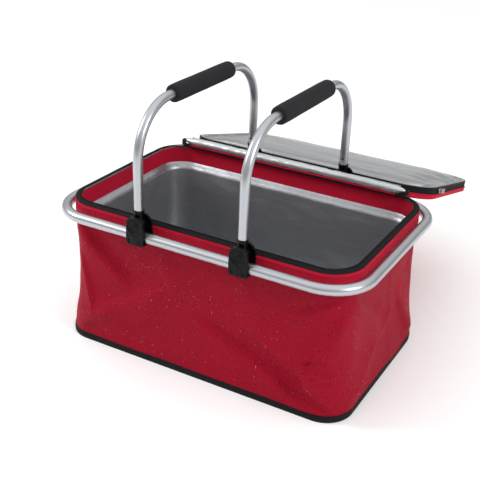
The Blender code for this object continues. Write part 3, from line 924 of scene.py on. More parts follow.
@dataclass
class WaterBeads:
    """Small drops of water standing on the front wall: shallow domes, some in loose clusters."""

    cover: Cover
    loose: int = 420
    clusters: int = 26
    ring_sides: int = 8
    squat: float = 0.62

    def build(self) -> None:
        """Scatters the drops over the wall's grid and turns each one to its surface.

        A drop of radius r is r cos t across and `squat` r sin t high, with t up to nearly a quarter turn.
        """
        draw = np.random.default_rng(17)
        places, normals = self.cover.wall(True)
        rows, cols = places.shape[:2]
        hub = draw.uniform((14, 90), (rows - 12, cols - 90), (self.clusters, 2))
        near = np.repeat(hub, 6, axis=0) + draw.normal(0, (4.0, 9.0), (self.clusters * 6, 2))
        spot = np.concatenate([draw.uniform((8, 20), (rows - 8, cols - 20), (self.loose, 2)), near])
        spot = np.clip(spot, 6, (rows - 7, cols - 7))
        low = spot.astype(int)
        part = (spot - low)[..., None]
        r, c = low[:, 0], low[:, 1]
        fr, fc = part[:, 0], part[:, 1]
        at = (places[r, c] * (1 - fr) * (1 - fc) + places[r + 1, c] * fr * (1 - fc)
              + places[r, c + 1] * (1 - fr) * fc + places[r + 1, c + 1] * fr * fc)
        up, along = places[r + 1, c] - places[r, c], places[r, c + 1] - places[r, c]
        up, along = unit(up), unit(along)
        out = np.cross(along, up)
        out *= np.sign((out * normals[r, c]).sum(1, keepdims=True))
        size = (0.50 + 0.80 * draw.random(len(spot)) ** 2.2)[:, None] * MM
        stretch = draw.uniform(0.9, 1.25, (len(spot), 1))
        ring = [at - out * 0.5 * size]
        for tilt in (-0.35, 0.25, 0.85):
            for k in range(self.ring_sides):
                turn = TAU * k / self.ring_sides
                flat = along * math.cos(turn) + up * math.sin(turn) * stretch
                ring.append(at + size * (flat * math.cos(tilt) + out * self.squat * math.sin(tilt)))
        ring.append(at + out * self.squat * size)
        n = self.ring_sides
        quads = [
            [row + k, row + (k + 1) % n, row + n + (k + 1) % n, row + n + k]
            for row in (1, 1 + n) for k in range(n)
        ]
        tris = [[0, 1 + (k + 1) % n, 1 + k] for k in range(n)]
        tris += [[3 * n + 1, 1 + 2 * n + k, 1 + 2 * n + (k + 1) % n] for k in range(n)]
        beads = Surface("water_beads")
        beads.copies(np.stack(ring, 1), np.array(quads), np.array(tris))
        collapse(settle(beads.build(Finish.WATER, 80), "base", slot="cover_front"))


@dataclass
class Foot:
    """The base: a red sole, a stiff board inside and the black tape bound round the edge."""

    nodes: dict
    tape: tuple[float, float] = (1.9 * MM, 10.4 * MM)
    outer: tuple[float, float, float] = (226.8 * MM, 146.3 * MM, 41.8 * MM)

    def build(self) -> None:
        """Makes the binding, its stitching and the sole."""
        outline = rounded(*inset(self.outer, 0.9 * MM), long=200, short=110, arc=22)
        profile = capsule(*self.tape, 18, 0.45)
        ring = carried(profile, outline, self.tape[1] / 2)
        at = ring[..., 0] * 1.3 + ring[..., 1]
        sway = ripple(at, ring[..., 2] * 0.3, 21, 7, 1.3)
        lift = ease(2 * MM, 9 * MM, ring[..., 2])
        normal = outline[1][0][:, None]
        ring[..., :2] += normal * (0.55 * MM * sway * lift)[..., None]
        ring[..., 2] += 0.5 * MM * ripple(at, at * 0, 8, 7, 1.1) * lift
        binding = Surface("base_edge_tape").grid(ring, wrap_u=True, wrap_v=True).build(Finish.BLACK_WEBBING)
        settle(binding, "base", "base_binding")
        line = at_height(outline[0][0] + outline[1][0] * 1.35 * MM, 7.6 * MM)
        stitches = Surface("base_edge_stitching")
        stitch_row(stitches, line, at_height(outline[1][0], 0), 3.2 * MM)
        settle(stitches.build(Finish.THREAD_BLACK), "base", slot="base_binding")
        share = np.array([0.02, 0.3, 0.6, 0.9, 0.985, 1.0, 1.0, 0.985, 0.9, 0.6, 0.3, 0.02])[:, None, None]
        height = np.array([0.2, 0.2, 0.2, 0.2, 0.25, 0.5, 0.9, 1.2, 1.2, 1.2, 1.2, 1.2])[:, None] * MM
        at = rounded(222.6 * MM, 142.1 * MM, 37.6 * MM)[0] * share
        sole = np.concatenate([at, np.broadcast_to(height[..., None], at.shape[:2] + (1,))], 2)
        piece = Surface("sole").grid(sole, wrap_v=True, cap=True).build(Finish.RED_CLOTH)
        settle(piece, "base", "base_sole")
        dress(self.nodes, "base_board", Finish.NYLON)


@dataclass
class Lining:
    """The white wadding, the silver lining inside it and the red facing round the lining's top."""

    cover: float = 1.6 * MM
    low: float = 5.1 * MM
    foam: float = 4 * MM
    skin: float = 0.8 * MM
    slack: float = 9 * MM
    foam_top: float = 215 * MM
    lining_top: float = 215.5 * MM

    def cup(self, by: float, low: float, top: float, thick: float, crinkle: float) -> Array:
        """A closed cup: out over its floor, up the outside, over the top, down inside, in over the floor.

        Crinkles push the inside wall and floor inwards only.
        """
        climb = np.linspace(0, 1, 60)
        shares = np.array([0.02, 0.4, 0.8, 0.985])
        share = np.concatenate([shares, np.ones(120), shares[::-1]])
        level = np.concatenate([np.full(4, low), low + (top - low) * climb,
                                top - (top - low - thick) * climb, np.full(4, low + thick)])
        slack = self.slack * ease(5 * MM, 22 * MM, level) * (1 - ease(183 * MM, 194 * MM, level))
        depth = np.concatenate([np.full(64, by), np.full(64, by + thick)]) + slack
        sizes = [np.polyval(np.polyfit(FORM.heights, row, 2), np.minimum(level, FORM.rim_z)) - depth
                 for row in (FORM.half_x, FORM.half_y, FORM.corner)]
        at, out = rounded(*sizes, long=130, short=84, arc=16)
        at = at * share[:, None, None]
        height = np.broadcast_to(level[:, None], at.shape[:2])
        inside = np.concatenate([np.zeros(64), np.full(64, 1.0)])[:, None]
        push = crinkle * np.abs(ripple(at[..., 0] + at[..., 1], height, 31, 9, 1.6)) * inside
        push = push * ease(26 * MM, 60 * MM, top - height) * (share[:, None] > 0.99)
        return np.concatenate([at - out * push[..., None], height[..., None]], 2)

    def build(self) -> None:
        """Makes the wadding, the lining and its facing."""
        wadding = Surface("wall_wadding")
        wadding.grid(self.cup(self.cover, self.low, self.foam_top, self.foam, 0), wrap_v=True, cap=True)
        collapse(settle(wadding.build(Finish.WADDING), "base", "insulation_foam"))
        depth = self.cover + self.foam + 0.9 * MM
        low = self.low + self.foam + 0.9 * MM
        silver = Surface("silver_lining")
        silver.grid(self.cup(depth, low, self.lining_top, self.skin, 1.4 * MM), wrap_v=True, cap=True)
        collapse(settle(silver.build(Finish.LINING), "base", "inner_lining"))
        outline = rounded(*inset(RIM, depth + self.skin + 0.9 * MM), long=200, short=110, arc=22)
        ring = carried(capsule(1.3 * MM, 25 * MM, 26, 0.3), outline, self.lining_top - 12.2 * MM)
        facing = Surface("facing").grid(ring, wrap_u=True, wrap_v=True)
        collapse(settle(facing.build(Finish.RED_CLOTH), "base", slot="inner_lining"))


# ---- rim -------------------------------------------------------------------------------------------


@dataclass
class Rim:
    """The aluminium ring, the red band inside it and the black zip tape with its row of teeth."""

    band: tuple[float, float] = (195.4 * MM, 215.8 * MM)
    tape: tuple[float, float] = (217.2 * MM, 219.6 * MM)
    tape_width: float = 7 * MM
    tooth_pitch: float = 1.6 * MM

    def ring_points(self) -> Array:
        """A circle carried round the ring's centre line."""
        outline = rounded(*RING, long=150, short=90, arc=30)
        return carried(capsule(2 * RING_RADIUS, 2 * RING_RADIUS, 40, 1.0), outline, RING_Z)

    def band_points(self) -> Array:
        """A flat closed band carried round the rim, gathered a little along its seam."""
        outline = rounded(*inset(RIM, 0.6 * MM), long=260, short=150, arc=26)
        low, high = self.band
        ring = carried(capsule(1.3 * MM, high - low, 56, 0.3), outline, (low + high) / 2)
        normal = outline[1][0][:, None]
        steps = np.diff(outline[0][0], axis=0, append=outline[0][0][:1])
        along = np.cumsum(np.linalg.norm(steps, axis=1))[:, None]
        gather = np.sin(along * TAU / 0.0093 + 1.5 * np.sin(along * 41)) * 0.16 * MM
        gather = gather * ease(0, 9 * MM, high - ring[..., 2])
        gather = gather + 0.5 * MM * ripple(along, along * 0, 3, 7, 0.8)
        rib = 0.7 * MM * np.exp(-(((ring[..., 2] - high + 3.2 * MM) / (1.1 * MM)) ** 2))
        ring[..., :2] += normal * (gather + rib)[..., None]
        return ring

    def tape_profile(self) -> Array:
        """The tape's section: it slopes in and up, with two cords raised along its upper side."""
        run = np.linspace(0, 1, 22)
        low, high = self.tape
        slope = low + (high - low) * run
        cords = 0.75 * MM * (np.exp(-(((run - 0.22) / 0.09) ** 2)) + np.exp(-(((run - 0.52) / 0.09) ** 2)))
        out = -self.tape_width * run
        upper = np.stack([out, slope + cords], 1)
        lower = np.stack([out, slope - 0.9 * MM], 1)[::-1]
        return np.concatenate([upper, lower])

    def build(self) -> None:
        """Makes the ring, band, tape and teeth."""
        ring = Surface("aluminium_rim").grid(self.ring_points(), wrap_u=True, wrap_v=True)
        settle(ring.build(Finish.TUBE), "frame", "rim_ring")
        band = Surface("red_rim_band").grid(self.band_points(), wrap_u=True, wrap_v=True)
        settle(band.build(Finish.RED_CLOTH), "frame", "rim_band")
        outline = rounded(*RIM, long=220, short=120, arc=26)
        tape = Surface("zip_tape_rim").grid(carried(self.tape_profile(), outline), wrap_u=True, wrap_v=True)
        settle(tape.build(Finish.BLACK_WEBBING), "frame", "rim_zip_tape")
        teeth = Surface("zip_teeth_rim")
        inner = rounded(*inset(RIM, self.tape_width + 0.2 * MM), long=220, short=120, arc=26)
        teeth_along(teeth, inner, self.tape[1] + 0.1 * MM, self.tooth_pitch)
        settle(teeth.build(Finish.ZIP_COIL), "frame", slot="rim_zip_tape")
        stitches = Surface("rim_stitching")
        edge = rounded(*RIM, long=200, short=110, arc=24)
        for height in (self.band[1] - 2.2 * MM, self.band[0] + 3 * MM):
            line = at_height(edge[0][0] + edge[1][0] * 0.35 * MM, height)
            stitch_row(stitches, line, at_height(edge[1][0], 0), 3.3 * MM)
        settle(stitches.build(Finish.THREAD_RED), "frame", slot="rim_band")


def teeth_along(surface: Surface, outline: tuple[Array, Array], height: float, pitch: float) -> None:
    """A zip's teeth: small eight-cornered blocks set side by side round an outline.

    Each block is one coil turn, a little longer across the tape than along it.
    """
    at, out = outline[0][0], outline[1][0]
    closed = np.vstack([at, at[:1]])
    run = run_along(closed)
    spots = np.arange(0, run[-1] - pitch / 2, pitch)
    place = np.stack([np.interp(spots, run, closed[:, k]) for k in range(2)], 1)
    normal = np.vstack([out, out[:1]])
    facing = unit(np.stack([np.interp(spots, run, normal[:, k]) for k in range(2)], 1))
    ahead = np.stack([-facing[:, 1], facing[:, 0]], 1)
    blocks = []
    for up, shrink in ((-0.6 * MM, 1.0), (0.6 * MM, 0.62)):
        for a, o in ((-1, -1), (1, -1), (1, 1), (-1, 1)):
            flat = place + ahead * a * 0.52 * MM * shrink + facing * (o * 1.35 * MM * shrink)
            blocks.append(np.concatenate([flat, np.full((len(flat), 1), height + up)], 1))
    quads = np.array([[3, 2, 1, 0], [4, 5, 6, 7], [0, 1, 5, 4], [1, 2, 6, 5], [2, 3, 7, 6], [3, 0, 4, 7]])
    surface.copies(np.stack(blocks, 1), quads, np.zeros((0, 3), int))


@dataclass
class FoilRoll:
    """The padded foil roll along the hinge, the black tape it is sewn to and a thin red piping."""

    radius: float = 6.2 * MM
    y: float = 129.5 * MM
    z: float = 229.5 * MM
    half: float = 188 * MM

    def build(self) -> None:
        """Makes the roll, its tape and the piping."""
        x = self.half * np.sin(np.linspace(-1, 1, 420) * TAU / 4)
        x = 0.75 * np.linspace(-self.half, self.half, 420) + 0.25 * x
        turn = np.linspace(0, TAU, 44, endpoint=False)
        along, around = np.meshgrid(x, turn, indexing="ij")
        tip = np.clip((self.half - np.abs(along)) / (22 * MM), 0, 1)
        tip = np.sqrt(1 - (1 - tip) ** 2) * 0.97 + 0.03
        crinkle = np.abs(ripple(along * 2.6, around * 0.012, 41, 9, 1.5)) + 0.6 * np.abs(
            ripple(along * 5, around * 0.02, 42, 9, 1.6))
        size = self.radius * tip * (1.05 - 0.10 * crinkle + 0.02 * np.cos(2 * around))
        droop = 0.7 * MM * ripple(along, along * 0, 44, 7, 0.6)
        points = np.stack([along, self.y + size * np.cos(around), self.z + droop + size * np.sin(around)], 2)
        roll = Surface("hinge_roll_padding").grid(points, wrap_v=True, cap=True).build(Finish.ROLL_FOIL)
        settle(roll, "frame", "hinge_roll")
        path = np.stack([np.linspace(-self.half, self.half, 240), np.full(240, self.y - 4.3 * MM),
                         np.full(240, self.z - 6.2 * MM)], 1)
        path[:, 2] += 0.5 * MM * ripple(path[:, 0], path[:, 0] * 0, 44, 7, 0.6)
        piping = Surface("red_piping").grid(tube(path, 1.2 * MM, 14, (0, 0, 1)), wrap_v=True, cap=True)
        settle(piping.build(Finish.RED_CLOTH), "frame", slot="rim_band")
        profile = capsule(13 * MM, 1.2 * MM, 20, 0.35)
        strip = np.stack(np.broadcast_arrays(path[:, None, 0], profile[None, :, 0] + self.y - 0.2 * MM,
                                             profile[None, :, 1] + self.z - 8.3 * MM), 2)
        under = Surface("hinge_tape").grid(strip, wrap_v=True, cap=True)
        settle(under.build(Finish.BLACK_WEBBING), "frame", slot="rim_zip_tape")


@dataclass
class HingeCloth:
    """Foil cloth from the roll down over the rear rail, and a black tape round each end of the roll.

    The cloth has three stretches, which leave room for the two rear legs. It stays with the frame.
    """

    stretches: tuple[tuple[str, float, float], ...] = (
        ("left", -178 * MM, -101 * MM), ("middle", -62 * MM, 62 * MM), ("right", 101 * MM, 178 * MM),
    )
    knots: tuple[tuple[float, float], ...] = (
        (132.5 * MM, 235.0 * MM), (138.5 * MM, 228.0 * MM), (145.5 * MM, 214.6 * MM),
        (154 * MM, 210.6 * MM), (164.5 * MM, 207.6 * MM),
    )
    end_knots: tuple[tuple[float, float, float], ...] = (
        (176 * MM, 121 * MM, 225.5 * MM), (189.5 * MM, 124.5 * MM, 228.0 * MM),
        (191 * MM, 131 * MM, 227.5 * MM), (190 * MM, 134.5 * MM, 225.5 * MM),
    )
    thickness: float = 0.9 * MM

    def sheet(self, low: float, high: float) -> Array:
        """A curve through the knots carried along X and lightly wrinkled along its upward normals."""
        line, ahead, _ = through(self.knots, 46)
        out = np.stack([-ahead[:, 1], ahead[:, 0]], 1)
        x = np.linspace(low, high, 130)
        fold = ripple(x[:, None] * 2.2, line[None, :, 0] * 1.2, 51, 9, 1.5)
        sag = 0.35 * MM * np.abs(fold) * (1 - ease(140 * MM, 148 * MM, line[:, 0]))[None]
        place = line[None] + out[None] * sag[..., None]
        flat = np.broadcast_to(x[:, None, None], place.shape[:2] + (1,))
        return np.concatenate([flat, place], 2)

    def end_tape(self, way: int) -> Array:
        """A cord-ridged tape round one end of the roll.

        A polynomial through the end's knots gives its middle line; its section lies across that line.
        """
        line, ahead, share = through(self.end_knots, 90)
        side = unit(np.cross(ahead, (0, 0, 1.0)))
        over = np.cross(side, ahead)
        section = capsule(3.2 * MM, 7.5 * MM, 48, 0.5)
        section[:, 0] += 0.45 * MM * np.sign(section[:, 0]) * np.cos(section[:, 1] * TAU / (2.5 * MM))
        slim = (0.55 + 0.45 * ease(0, 0.25, share))[:, None, None]
        across = side[:, None] * section[None, :, :1] + over[:, None] * section[None, :, 1:]
        return (line[:, None] + slim * across) * (way, 1, 1)

    def build(self) -> None:
        """Makes the three stretches and the two end tapes."""
        for name, low, high in self.stretches:
            piece = Surface(f"hinge_cloth_{name}").grid(self.sheet(low, high))
            made = thickened(piece.build(Finish.LID_FOIL, 70), self.thickness)
            nodes = ["hinge_strip"] if name == "middle" else []
            settle(made, "frame", *nodes, slot="hinge_strip")
        for side, way in (("left", -1), ("right", 1)):
            tape = Surface(f"roll_end_tape_{side}").grid(self.end_tape(way), wrap_v=True, cap=True)
            settle(tape.build(Finish.BLACK_WEBBING), "frame", slot="rim_zip_tape")


# ---- brackets and handles ----------------------------------------------------------------------------


@dataclass
class Bracket:
    """A clamp of two moulded plates and a saddle that holds the rail and one leg's pivot."""

    nodes: dict
    side: str
    end: str
    width: float = 27.6 * MM
    bottom: float = 190.9 * MM
    near: float = 7.9 * MM
    far: float = 11.5 * MM
    chamfer: float = 3 * MM
    edge: float = 1.0 * MM
    boss: float = 0.75 * MM

    @property
    def centre(self) -> tuple[float, float]:
        """The pivot's (x, y)."""
        return (PIVOT_X * (1 if self.side == "right" else -1), RAIL_Y * (1 if self.end == "back" else -1))

    def outline_radius(self, turn: Array) -> Array:
        """Distance from the pivot to the plate's edge: a half circle above, straight sides,
        a straight foot and two cut corners below, whichever is nearest."""
        half, drop = self.width / 2, PIVOT_Z - self.bottom
        cos, sin = np.abs(np.cos(turn)), np.sin(turn)
        down = np.maximum(-sin, 1e-9)
        side = half / np.maximum(cos, 1e-9)
        foot = drop / down
        cut = (half + drop - self.chamfer) / np.maximum(cos + down, 1e-9)
        return np.where(sin >= 0, half, np.minimum(np.minimum(side, foot), cut))

    def face_height(self, x: Array, z: Array, shown: bool) -> Array:
        """Relief of the face: a round boss with ring grooves and a dimple in its middle.

        A shown face also has two corner recesses and a web. A hidden one is lower by the boss's height.
        """
        r = np.hypot(x, z)
        boss = self.boss * (1 - ease(12.4 * MM, 13.0 * MM, r))
        groove = sum(0.6 * MM * np.exp(-(((r - at * MM) / (0.5 * MM)) ** 2)) for at in (4.6, 7.2, 9.8))
        hollow = 0.5 * MM * ease(2.6 * MM, 4.2 * MM, r) * (1 - ease(9.8 * MM, 12.2 * MM, r))
        dimple = 1.1 * MM * (1 - ease(1.5 * MM, 2.3 * MM, r))
        height = boss - groove - hollow - dimple - (0 if shown else self.boss)
        if shown:
            down = self.bottom - PIVOT_Z + 6 * MM
            for side in (-1, 1):
                away = np.hypot(x - side * 8.5 * MM, z - down)
                height = height - 1.3 * MM * (1 - ease(1.6 * MM, 2.3 * MM, away))
            web = np.abs(x) < 5.2 * MM
            rise = ease(0, 1 * MM, 5.2 * MM - np.abs(x)) * web * ease(13.2 * MM, 14.5 * MM, -z)
            height = height + 0.35 * MM * rise
        return height

    def plate(self, outwards: int, shown: bool) -> Array:
        """One plate: rings from the pivot to the edge on its face, a rounded edge, and in over its back."""
        count = 260 if shown else 160
        turn = np.linspace(0, TAU, count, endpoint=False)[None]
        edge = self.outline_radius(turn)
        inner = np.linspace(0.3 * MM, 12.9 * MM, 34)[:, None] * np.ones_like(turn)
        share = np.linspace(0, 1, 26)[1:, None]
        outer = 12.9 * MM + (edge - self.edge - 12.9 * MM) * share
        bend = np.linspace(0, TAU / 4, 5)[1:, None]
        lip = edge - self.edge + self.edge * np.sin(bend)
        drop = np.concatenate([np.zeros(59), self.edge * (1 - np.cos(bend[:, 0]))])
        radius = np.concatenate([inner, outer, lip])
        x, z = radius * np.cos(turn), radius * np.sin(turn)
        depth = self.far - drop[:, None] + self.face_height(x, z, shown) * (drop[:, None] == 0)
        back = np.array([1.0, 0.97, 0.5, 0.03])[:, None] * edge
        x = np.concatenate([x, back * np.cos(turn)])
        z = np.concatenate([z, back * np.sin(turn)])
        depth = np.concatenate([depth, np.full_like(back, self.near)])
        cx, cy = self.centre
        return np.stack([cx + x, cy + outwards * depth, PIVOT_Z + z], 2)

    def saddle(self) -> Array:
        """The block under the rail: between a circle round the rail and a box, from one side to the other."""
        phi = np.linspace(math.radians(186), math.radians(354), 60)
        inner = np.full_like(phi, RING_RADIUS + 0.3 * MM)
        outer = np.minimum(self.near / np.maximum(np.abs(np.cos(phi)), 1e-9), 9.6 * MM / np.abs(np.sin(phi)))
        outer = np.maximum(outer, inner + 0.2 * MM)
        half = self.width / 2 - 0.5 * MM
        loop = ((inner, -half), (outer - 0.7 * MM, -half), (outer, -half + 0.7 * MM),
                (outer, half - 0.7 * MM), (outer - 0.7 * MM, half), (inner, half))
        cx, cy = self.centre
        rings = [
            np.stack([np.full_like(phi, cx + x), cy + r * np.cos(phi), RING_Z + r * np.sin(phi)], 1)
            for r, x in loop
        ]
        return np.stack(rings, 1)

    def build(self) -> None:
        """Makes both plates and the saddle, and dresses the pivot pin."""
        place = f"{self.end}_{self.side}"
        outwards = 1 if self.end == "back" else -1
        for half, way in (("outer", outwards), ("inner", -outwards)):
            plate = Surface(f"clamp_{half}_{place}")
            plate.grid(self.plate(way, half == "outer"), wrap_v=True, cap=True)
            settle(plate.build(Finish.NYLON, 32), "frame", f"bracket_{half}_{place}")
        saddle = Surface(f"clamp_saddle_{place}").grid(self.saddle(), wrap_v=True, cap=True)
        settle(saddle.build(Finish.NYLON, 32), "frame", slot=f"bracket_outer_{place}")
        dress(self.nodes, f"pivot_pin_{place}", Finish.ZINC)


@dataclass
class Handle:
    """A U of aluminium tube with a foam grip and a moulded socket on each leg."""

    side: str
    rise: float = 158 * MM
    corner: float = 71 * MM
    radius: float = 6.5 * MM
    grip_radius: float = 12.5 * MM
    grip_length: float = 147 * MM
    tube_from: float = 15.8 * MM
    button_at: float = 30 * MM

    @property
    def x(self) -> float:
        """The handle's plane."""
        return PIVOT_X * (1 if self.side == "right" else -1)

    @property
    def body(self) -> str:
        """The body it moves with."""
        return f"handle_{self.side}"

    def route(self) -> Array:
        """Centre line: up one leg, round a quarter circle, across, and down the other side."""
        top = PIVOT_Z + self.rise
        leg_z = np.linspace(PIVOT_Z + self.tube_from, top - self.corner, 36, endpoint=False)
        turn = np.linspace(TAU / 2, TAU / 4, 40)
        mid_y = self.corner - RAIL_Y
        arc = self.corner * np.stack([np.cos(turn), np.sin(turn)], 1) + (mid_y, top - self.corner)
        leg = np.stack([np.full_like(leg_z, -RAIL_Y), leg_z], 1)
        half = np.concatenate([leg, arc, np.stack([np.linspace(mid_y, 0, 12)[1:], np.full(11, top)], 1)])
        whole = np.concatenate([half, (half * (-1, 1))[-2::-1]])
        return np.concatenate([np.full((len(whole), 1), self.x), whole], 1)

    def grip_profile(self) -> Array:
        """A closed (radius, along) section of the sleeve with soft rounded lips and slight waves."""
        half, bore, lip = self.grip_length / 2, self.radius + 0.25 * MM, 2.4 * MM
        along = np.linspace(-half + lip, half - lip, 90)
        body = self.grip_radius + 0.14 * MM * ripple(along, along * 0, 61, 7, 2.0)
        body = body - 0.5 * MM * (np.abs(along) / half) ** 6
        bend = np.linspace(TAU / 4, 0, 8)
        start = np.stack([body[0] - lip + lip * np.cos(bend), along[0] - lip * np.sin(bend)], 1)
        finish = np.stack([body[-1] - lip + lip * np.cos(bend), along[-1] + lip * np.sin(bend)], 1)[::-1]
        inside = np.array([[bore, half - 0.2 * MM], [bore, 0.0], [bore, -half + 0.2 * MM]])
        return np.concatenate([start[:-1], np.stack([body, along], 1), finish[1:], inside])

    def socket(self, y: float) -> Surface:
        """An eye on the pivot, a neck and a flared collar round the tube's end."""
        piece = Surface(f"leg_foot_{'front' if y < 0 else 'back'}_{self.side}")
        eye = np.array([[0.3, -6.5], [7.6, -6.5], [8.5, -6.1], [9.0, -5.3], [9.0, 0], [9.0, 5.3], [8.5, 6.1],
                        [7.6, 6.5], [0.3, 6.5]]) * MM
        piece.grid(turned(eye, (self.x, y, PIVOT_Z), 1, 56), wrap_v=True, cap=True)
        neck = np.array([[0.3, 3], [6.4, 3], [6.5, 8], [6.55, 13.2], [6.9, 14.2], [7.25, 15.0], [7.3, 18.0],
                         [7.5, 18.9], [7.75, 19.6], [7.75, 20.4], [7.4, 20.9], [6.9, 20.9], [6.62, 20.4],
                         [6.6, 17], [0.3, 17]]) * MM
        piece.grid(turned(neck, (self.x, y, PIVOT_Z), 2, 56), wrap_v=True, cap=True)
        return piece

    def build(self) -> None:
        """Makes the tube, grip, sockets and buttons."""
        path = self.route()
        bow = Surface(f"handle_bow_{self.side}").grid(tube(path, self.radius, 36), wrap_v=True, cap=True)
        settle(bow.build(Finish.TUBE, 50), self.body, f"handle_tube_{self.side}")
        points = turned(self.grip_profile(), (self.x, 0, PIVOT_Z + self.rise), 1, 64)
        grip = Surface(f"foam_grip_{self.side}").grid(points, wrap_u=True, wrap_v=True)
        grip = settle(grip.build(Finish.FOAM, 50), self.body, f"handle_grip_{self.side}")
        for end, y in (("front", -RAIL_Y), ("back", RAIL_Y)):
            foot = self.socket(y).build(Finish.NYLON, 32)
            settle(foot, self.body, f"leg_socket_{end}_{self.side}")
            inwards = -1 if y > 0 else 1
            dome = np.array([[0.1, 0.5], [1.0, 0.45], [1.5, 0.3], [1.8, 0.0], [1.8, -1.6], [0.1, -1.6]]) * MM
            dome[:, 1] = inwards * (dome[:, 1] + self.radius - 0.35 * MM)
            spot = (self.x, y, PIVOT_Z + self.button_at)
            button = Surface(f"leg_rivet_{end}_{self.side}")
            button.grid(turned(dome, spot, 1, 24), wrap_v=True, cap=True)
            settle(button.build(Finish.NYLON, 32), self.body, f"leg_button_{end}_{self.side}")


# ---- lid ---------------------------------------------------------------------------------------------


@dataclass
class Lid:
    """The folded-back lid: foil side up, black zip tape round its edge and a red cover beneath."""

    half_x: float = 208.5 * MM
    depth: float = 262 * MM
    corner: float = 50 * MM
    thick: float = 19.2 * MM
    tape: float = 11 * MM
    skin: float = 1.2 * MM
    edge: tuple[float, float] = (171.5 * MM, 222 * MM)
    slope: float = 15.5
    welds: tuple[float, float] = (8 * MM, 13 * MM)

    def laid(self, points: Array) -> Array:
        """Turns level (x, depth, height) points to where the open lid lies."""
        cos, sin = math.cos(math.radians(self.slope)), math.sin(math.radians(self.slope))
        x, v, w = points[..., 0], points[..., 1], points[..., 2]
        return np.stack([x, self.edge[0] + v * cos + w * sin, self.edge[1] - v * sin + w * cos], -1)

    def ring(self, by: Array, **steps: int) -> tuple[Array, Array]:
        """Outlines of the lid moved in by each amount, with normals, in level places."""
        by = np.asarray(by, float)
        at, out = rounded(
            self.half_x - by, self.depth / 2 - by, np.maximum(self.corner - by, 1 * MM), **steps
        )
        return at + (0, self.depth / 2), out

    def foil(self) -> Array:
        """The padded foil face: crowned, with two welded lines near its edge and crinkled ends."""
        by = np.concatenate([np.linspace(1.0, 22, 64), np.linspace(22, 129.5, 54)[1:]]) * MM
        at, _ = self.ring(by, long=240, short=120, arc=24)
        x, v = at[..., 0], at[..., 1]
        edge = by[:, None]
        lines = sum(np.exp(-(((edge - line) / (1.2 * MM)) ** 2)) for line in self.welds)
        puff = 2.2 * MM * np.exp(-(((edge - 10.5 * MM) / (1.5 * MM)) ** 2))
        crown = 2.6 * MM * ease(12 * MM, 55 * MM, edge) + 0.9 * MM * ease(1 * MM, 5 * MM, edge)
        tips = ease(120 * MM, 195 * MM, np.abs(x)) * 0.85 + 0.15
        creased = np.abs(ripple(x, v * 1.6, 71, 9, 1.5)) + 0.5 * np.abs(ripple(x, v, 72, 9, 3.2))
        soft = ripple(x * 0.6, v * 1.5, 73, 9, 1.0)
        crumple = 3.6 * MM * tips * creased * ease(3 * MM, 9 * MM, edge)
        height = crown - 1.8 * MM * lines + puff - crumple
        height = height + 0.5 * MM * soft * ease(8 * MM, 20 * MM, edge)
        lip = self.skin * 0.6 * (1 - np.clip(edge / (2 * MM), 0, 1)) ** 2
        top = np.concatenate([at, (height - lip)[..., None]], 2)[::-1]
        below, _ = self.ring(np.array([1.0, 6, 40, 129.5]) * MM, long=240, short=120, arc=24)
        under = np.concatenate([below, np.full(below.shape[:2] + (1,), -self.skin)], 2)
        return self.laid(np.concatenate([top, under]))

    def edge_tape(self) -> Array:
        """The zip tape carried round the edge, with raised cords along it."""
        outline = self.ring(np.array([0.0]), long=240, short=120, arc=26)
        low, high = -self.tape, -0.3 * MM
        up = np.linspace(low, high, 34)
        share = (up - low) / (high - low)
        cords = sum(h * MM * np.exp(-(((share - at) / w) ** 2))
                    for h, at, w in ((0.9, 0.86, 0.08), (0.8, 0.55, 0.06), (0.5, 0.30, 0.06)))
        profile = np.concatenate([
            np.stack([cords, up], 1), np.stack([np.full(34, -self.skin), up[::-1]], 1)
        ])
        ring = carried(profile, outline)
        ring[..., 2] += 0.5 * MM * ripple(ring[..., 0] + ring[..., 1] * 1.3, ring[..., 2] * 0, 81, 7, 1.0)
        ring[..., 2] -= 2.2 * MM * (1 - ease(0, 10 * MM, ring[..., 1] + 2 * MM))
        return self.laid(ring)

    def shell(self) -> Array:
        """The red outer cover: a shallow closed tray with a crowned, softly creased underside."""
        by = np.array([130.0, 110, 90, 70, 50, 35, 24, 16, 10, 6, 3.5, 1.8, 0.8, 0.2])
        low, high = -self.thick, -(self.tape + 0.3 * MM)
        drop = -1.2 * MM * ease(8, 60, by) + 2.0 * MM * (1 - np.clip(by / 4, 0, 1)) ** 2
        wall = np.linspace(low + 2.0 * MM, high, 9)[1:]
        outer = np.concatenate([by, np.zeros(8)]) * MM
        inner = np.array([1.2, 1.2, 3, 30, 130]) * MM
        inside = [high, low + 4 * MM, low + 1.6 * MM, low + 1.4 * MM, low + 1.2 * MM]
        level = np.concatenate([low + drop, wall, inside])
        at, out = self.ring(np.concatenate([outer, inner]), long=200, short=110, arc=24)
        height = np.broadcast_to(level[:, None], at.shape[:2]).copy()
        count = len(outer)
        bulge = 1.2 * MM * np.sin(np.clip((level - low) / (high - low), 0, 1) * TAU / 2)[:, None]
        away = ease(4 * MM, 20 * MM, np.concatenate([outer, inner]))[:, None]
        crease = 0.8 * MM * ripple(at[..., 0], at[..., 1], 91, 9, 0.8) * away
        outside = (np.arange(len(level)) < count)[:, None]
        height += np.minimum(crease, 0.9 * MM) * outside
        at = at + out * (bulge * outside)[..., None]
        return self.laid(np.concatenate([at, height[..., None]], 2))

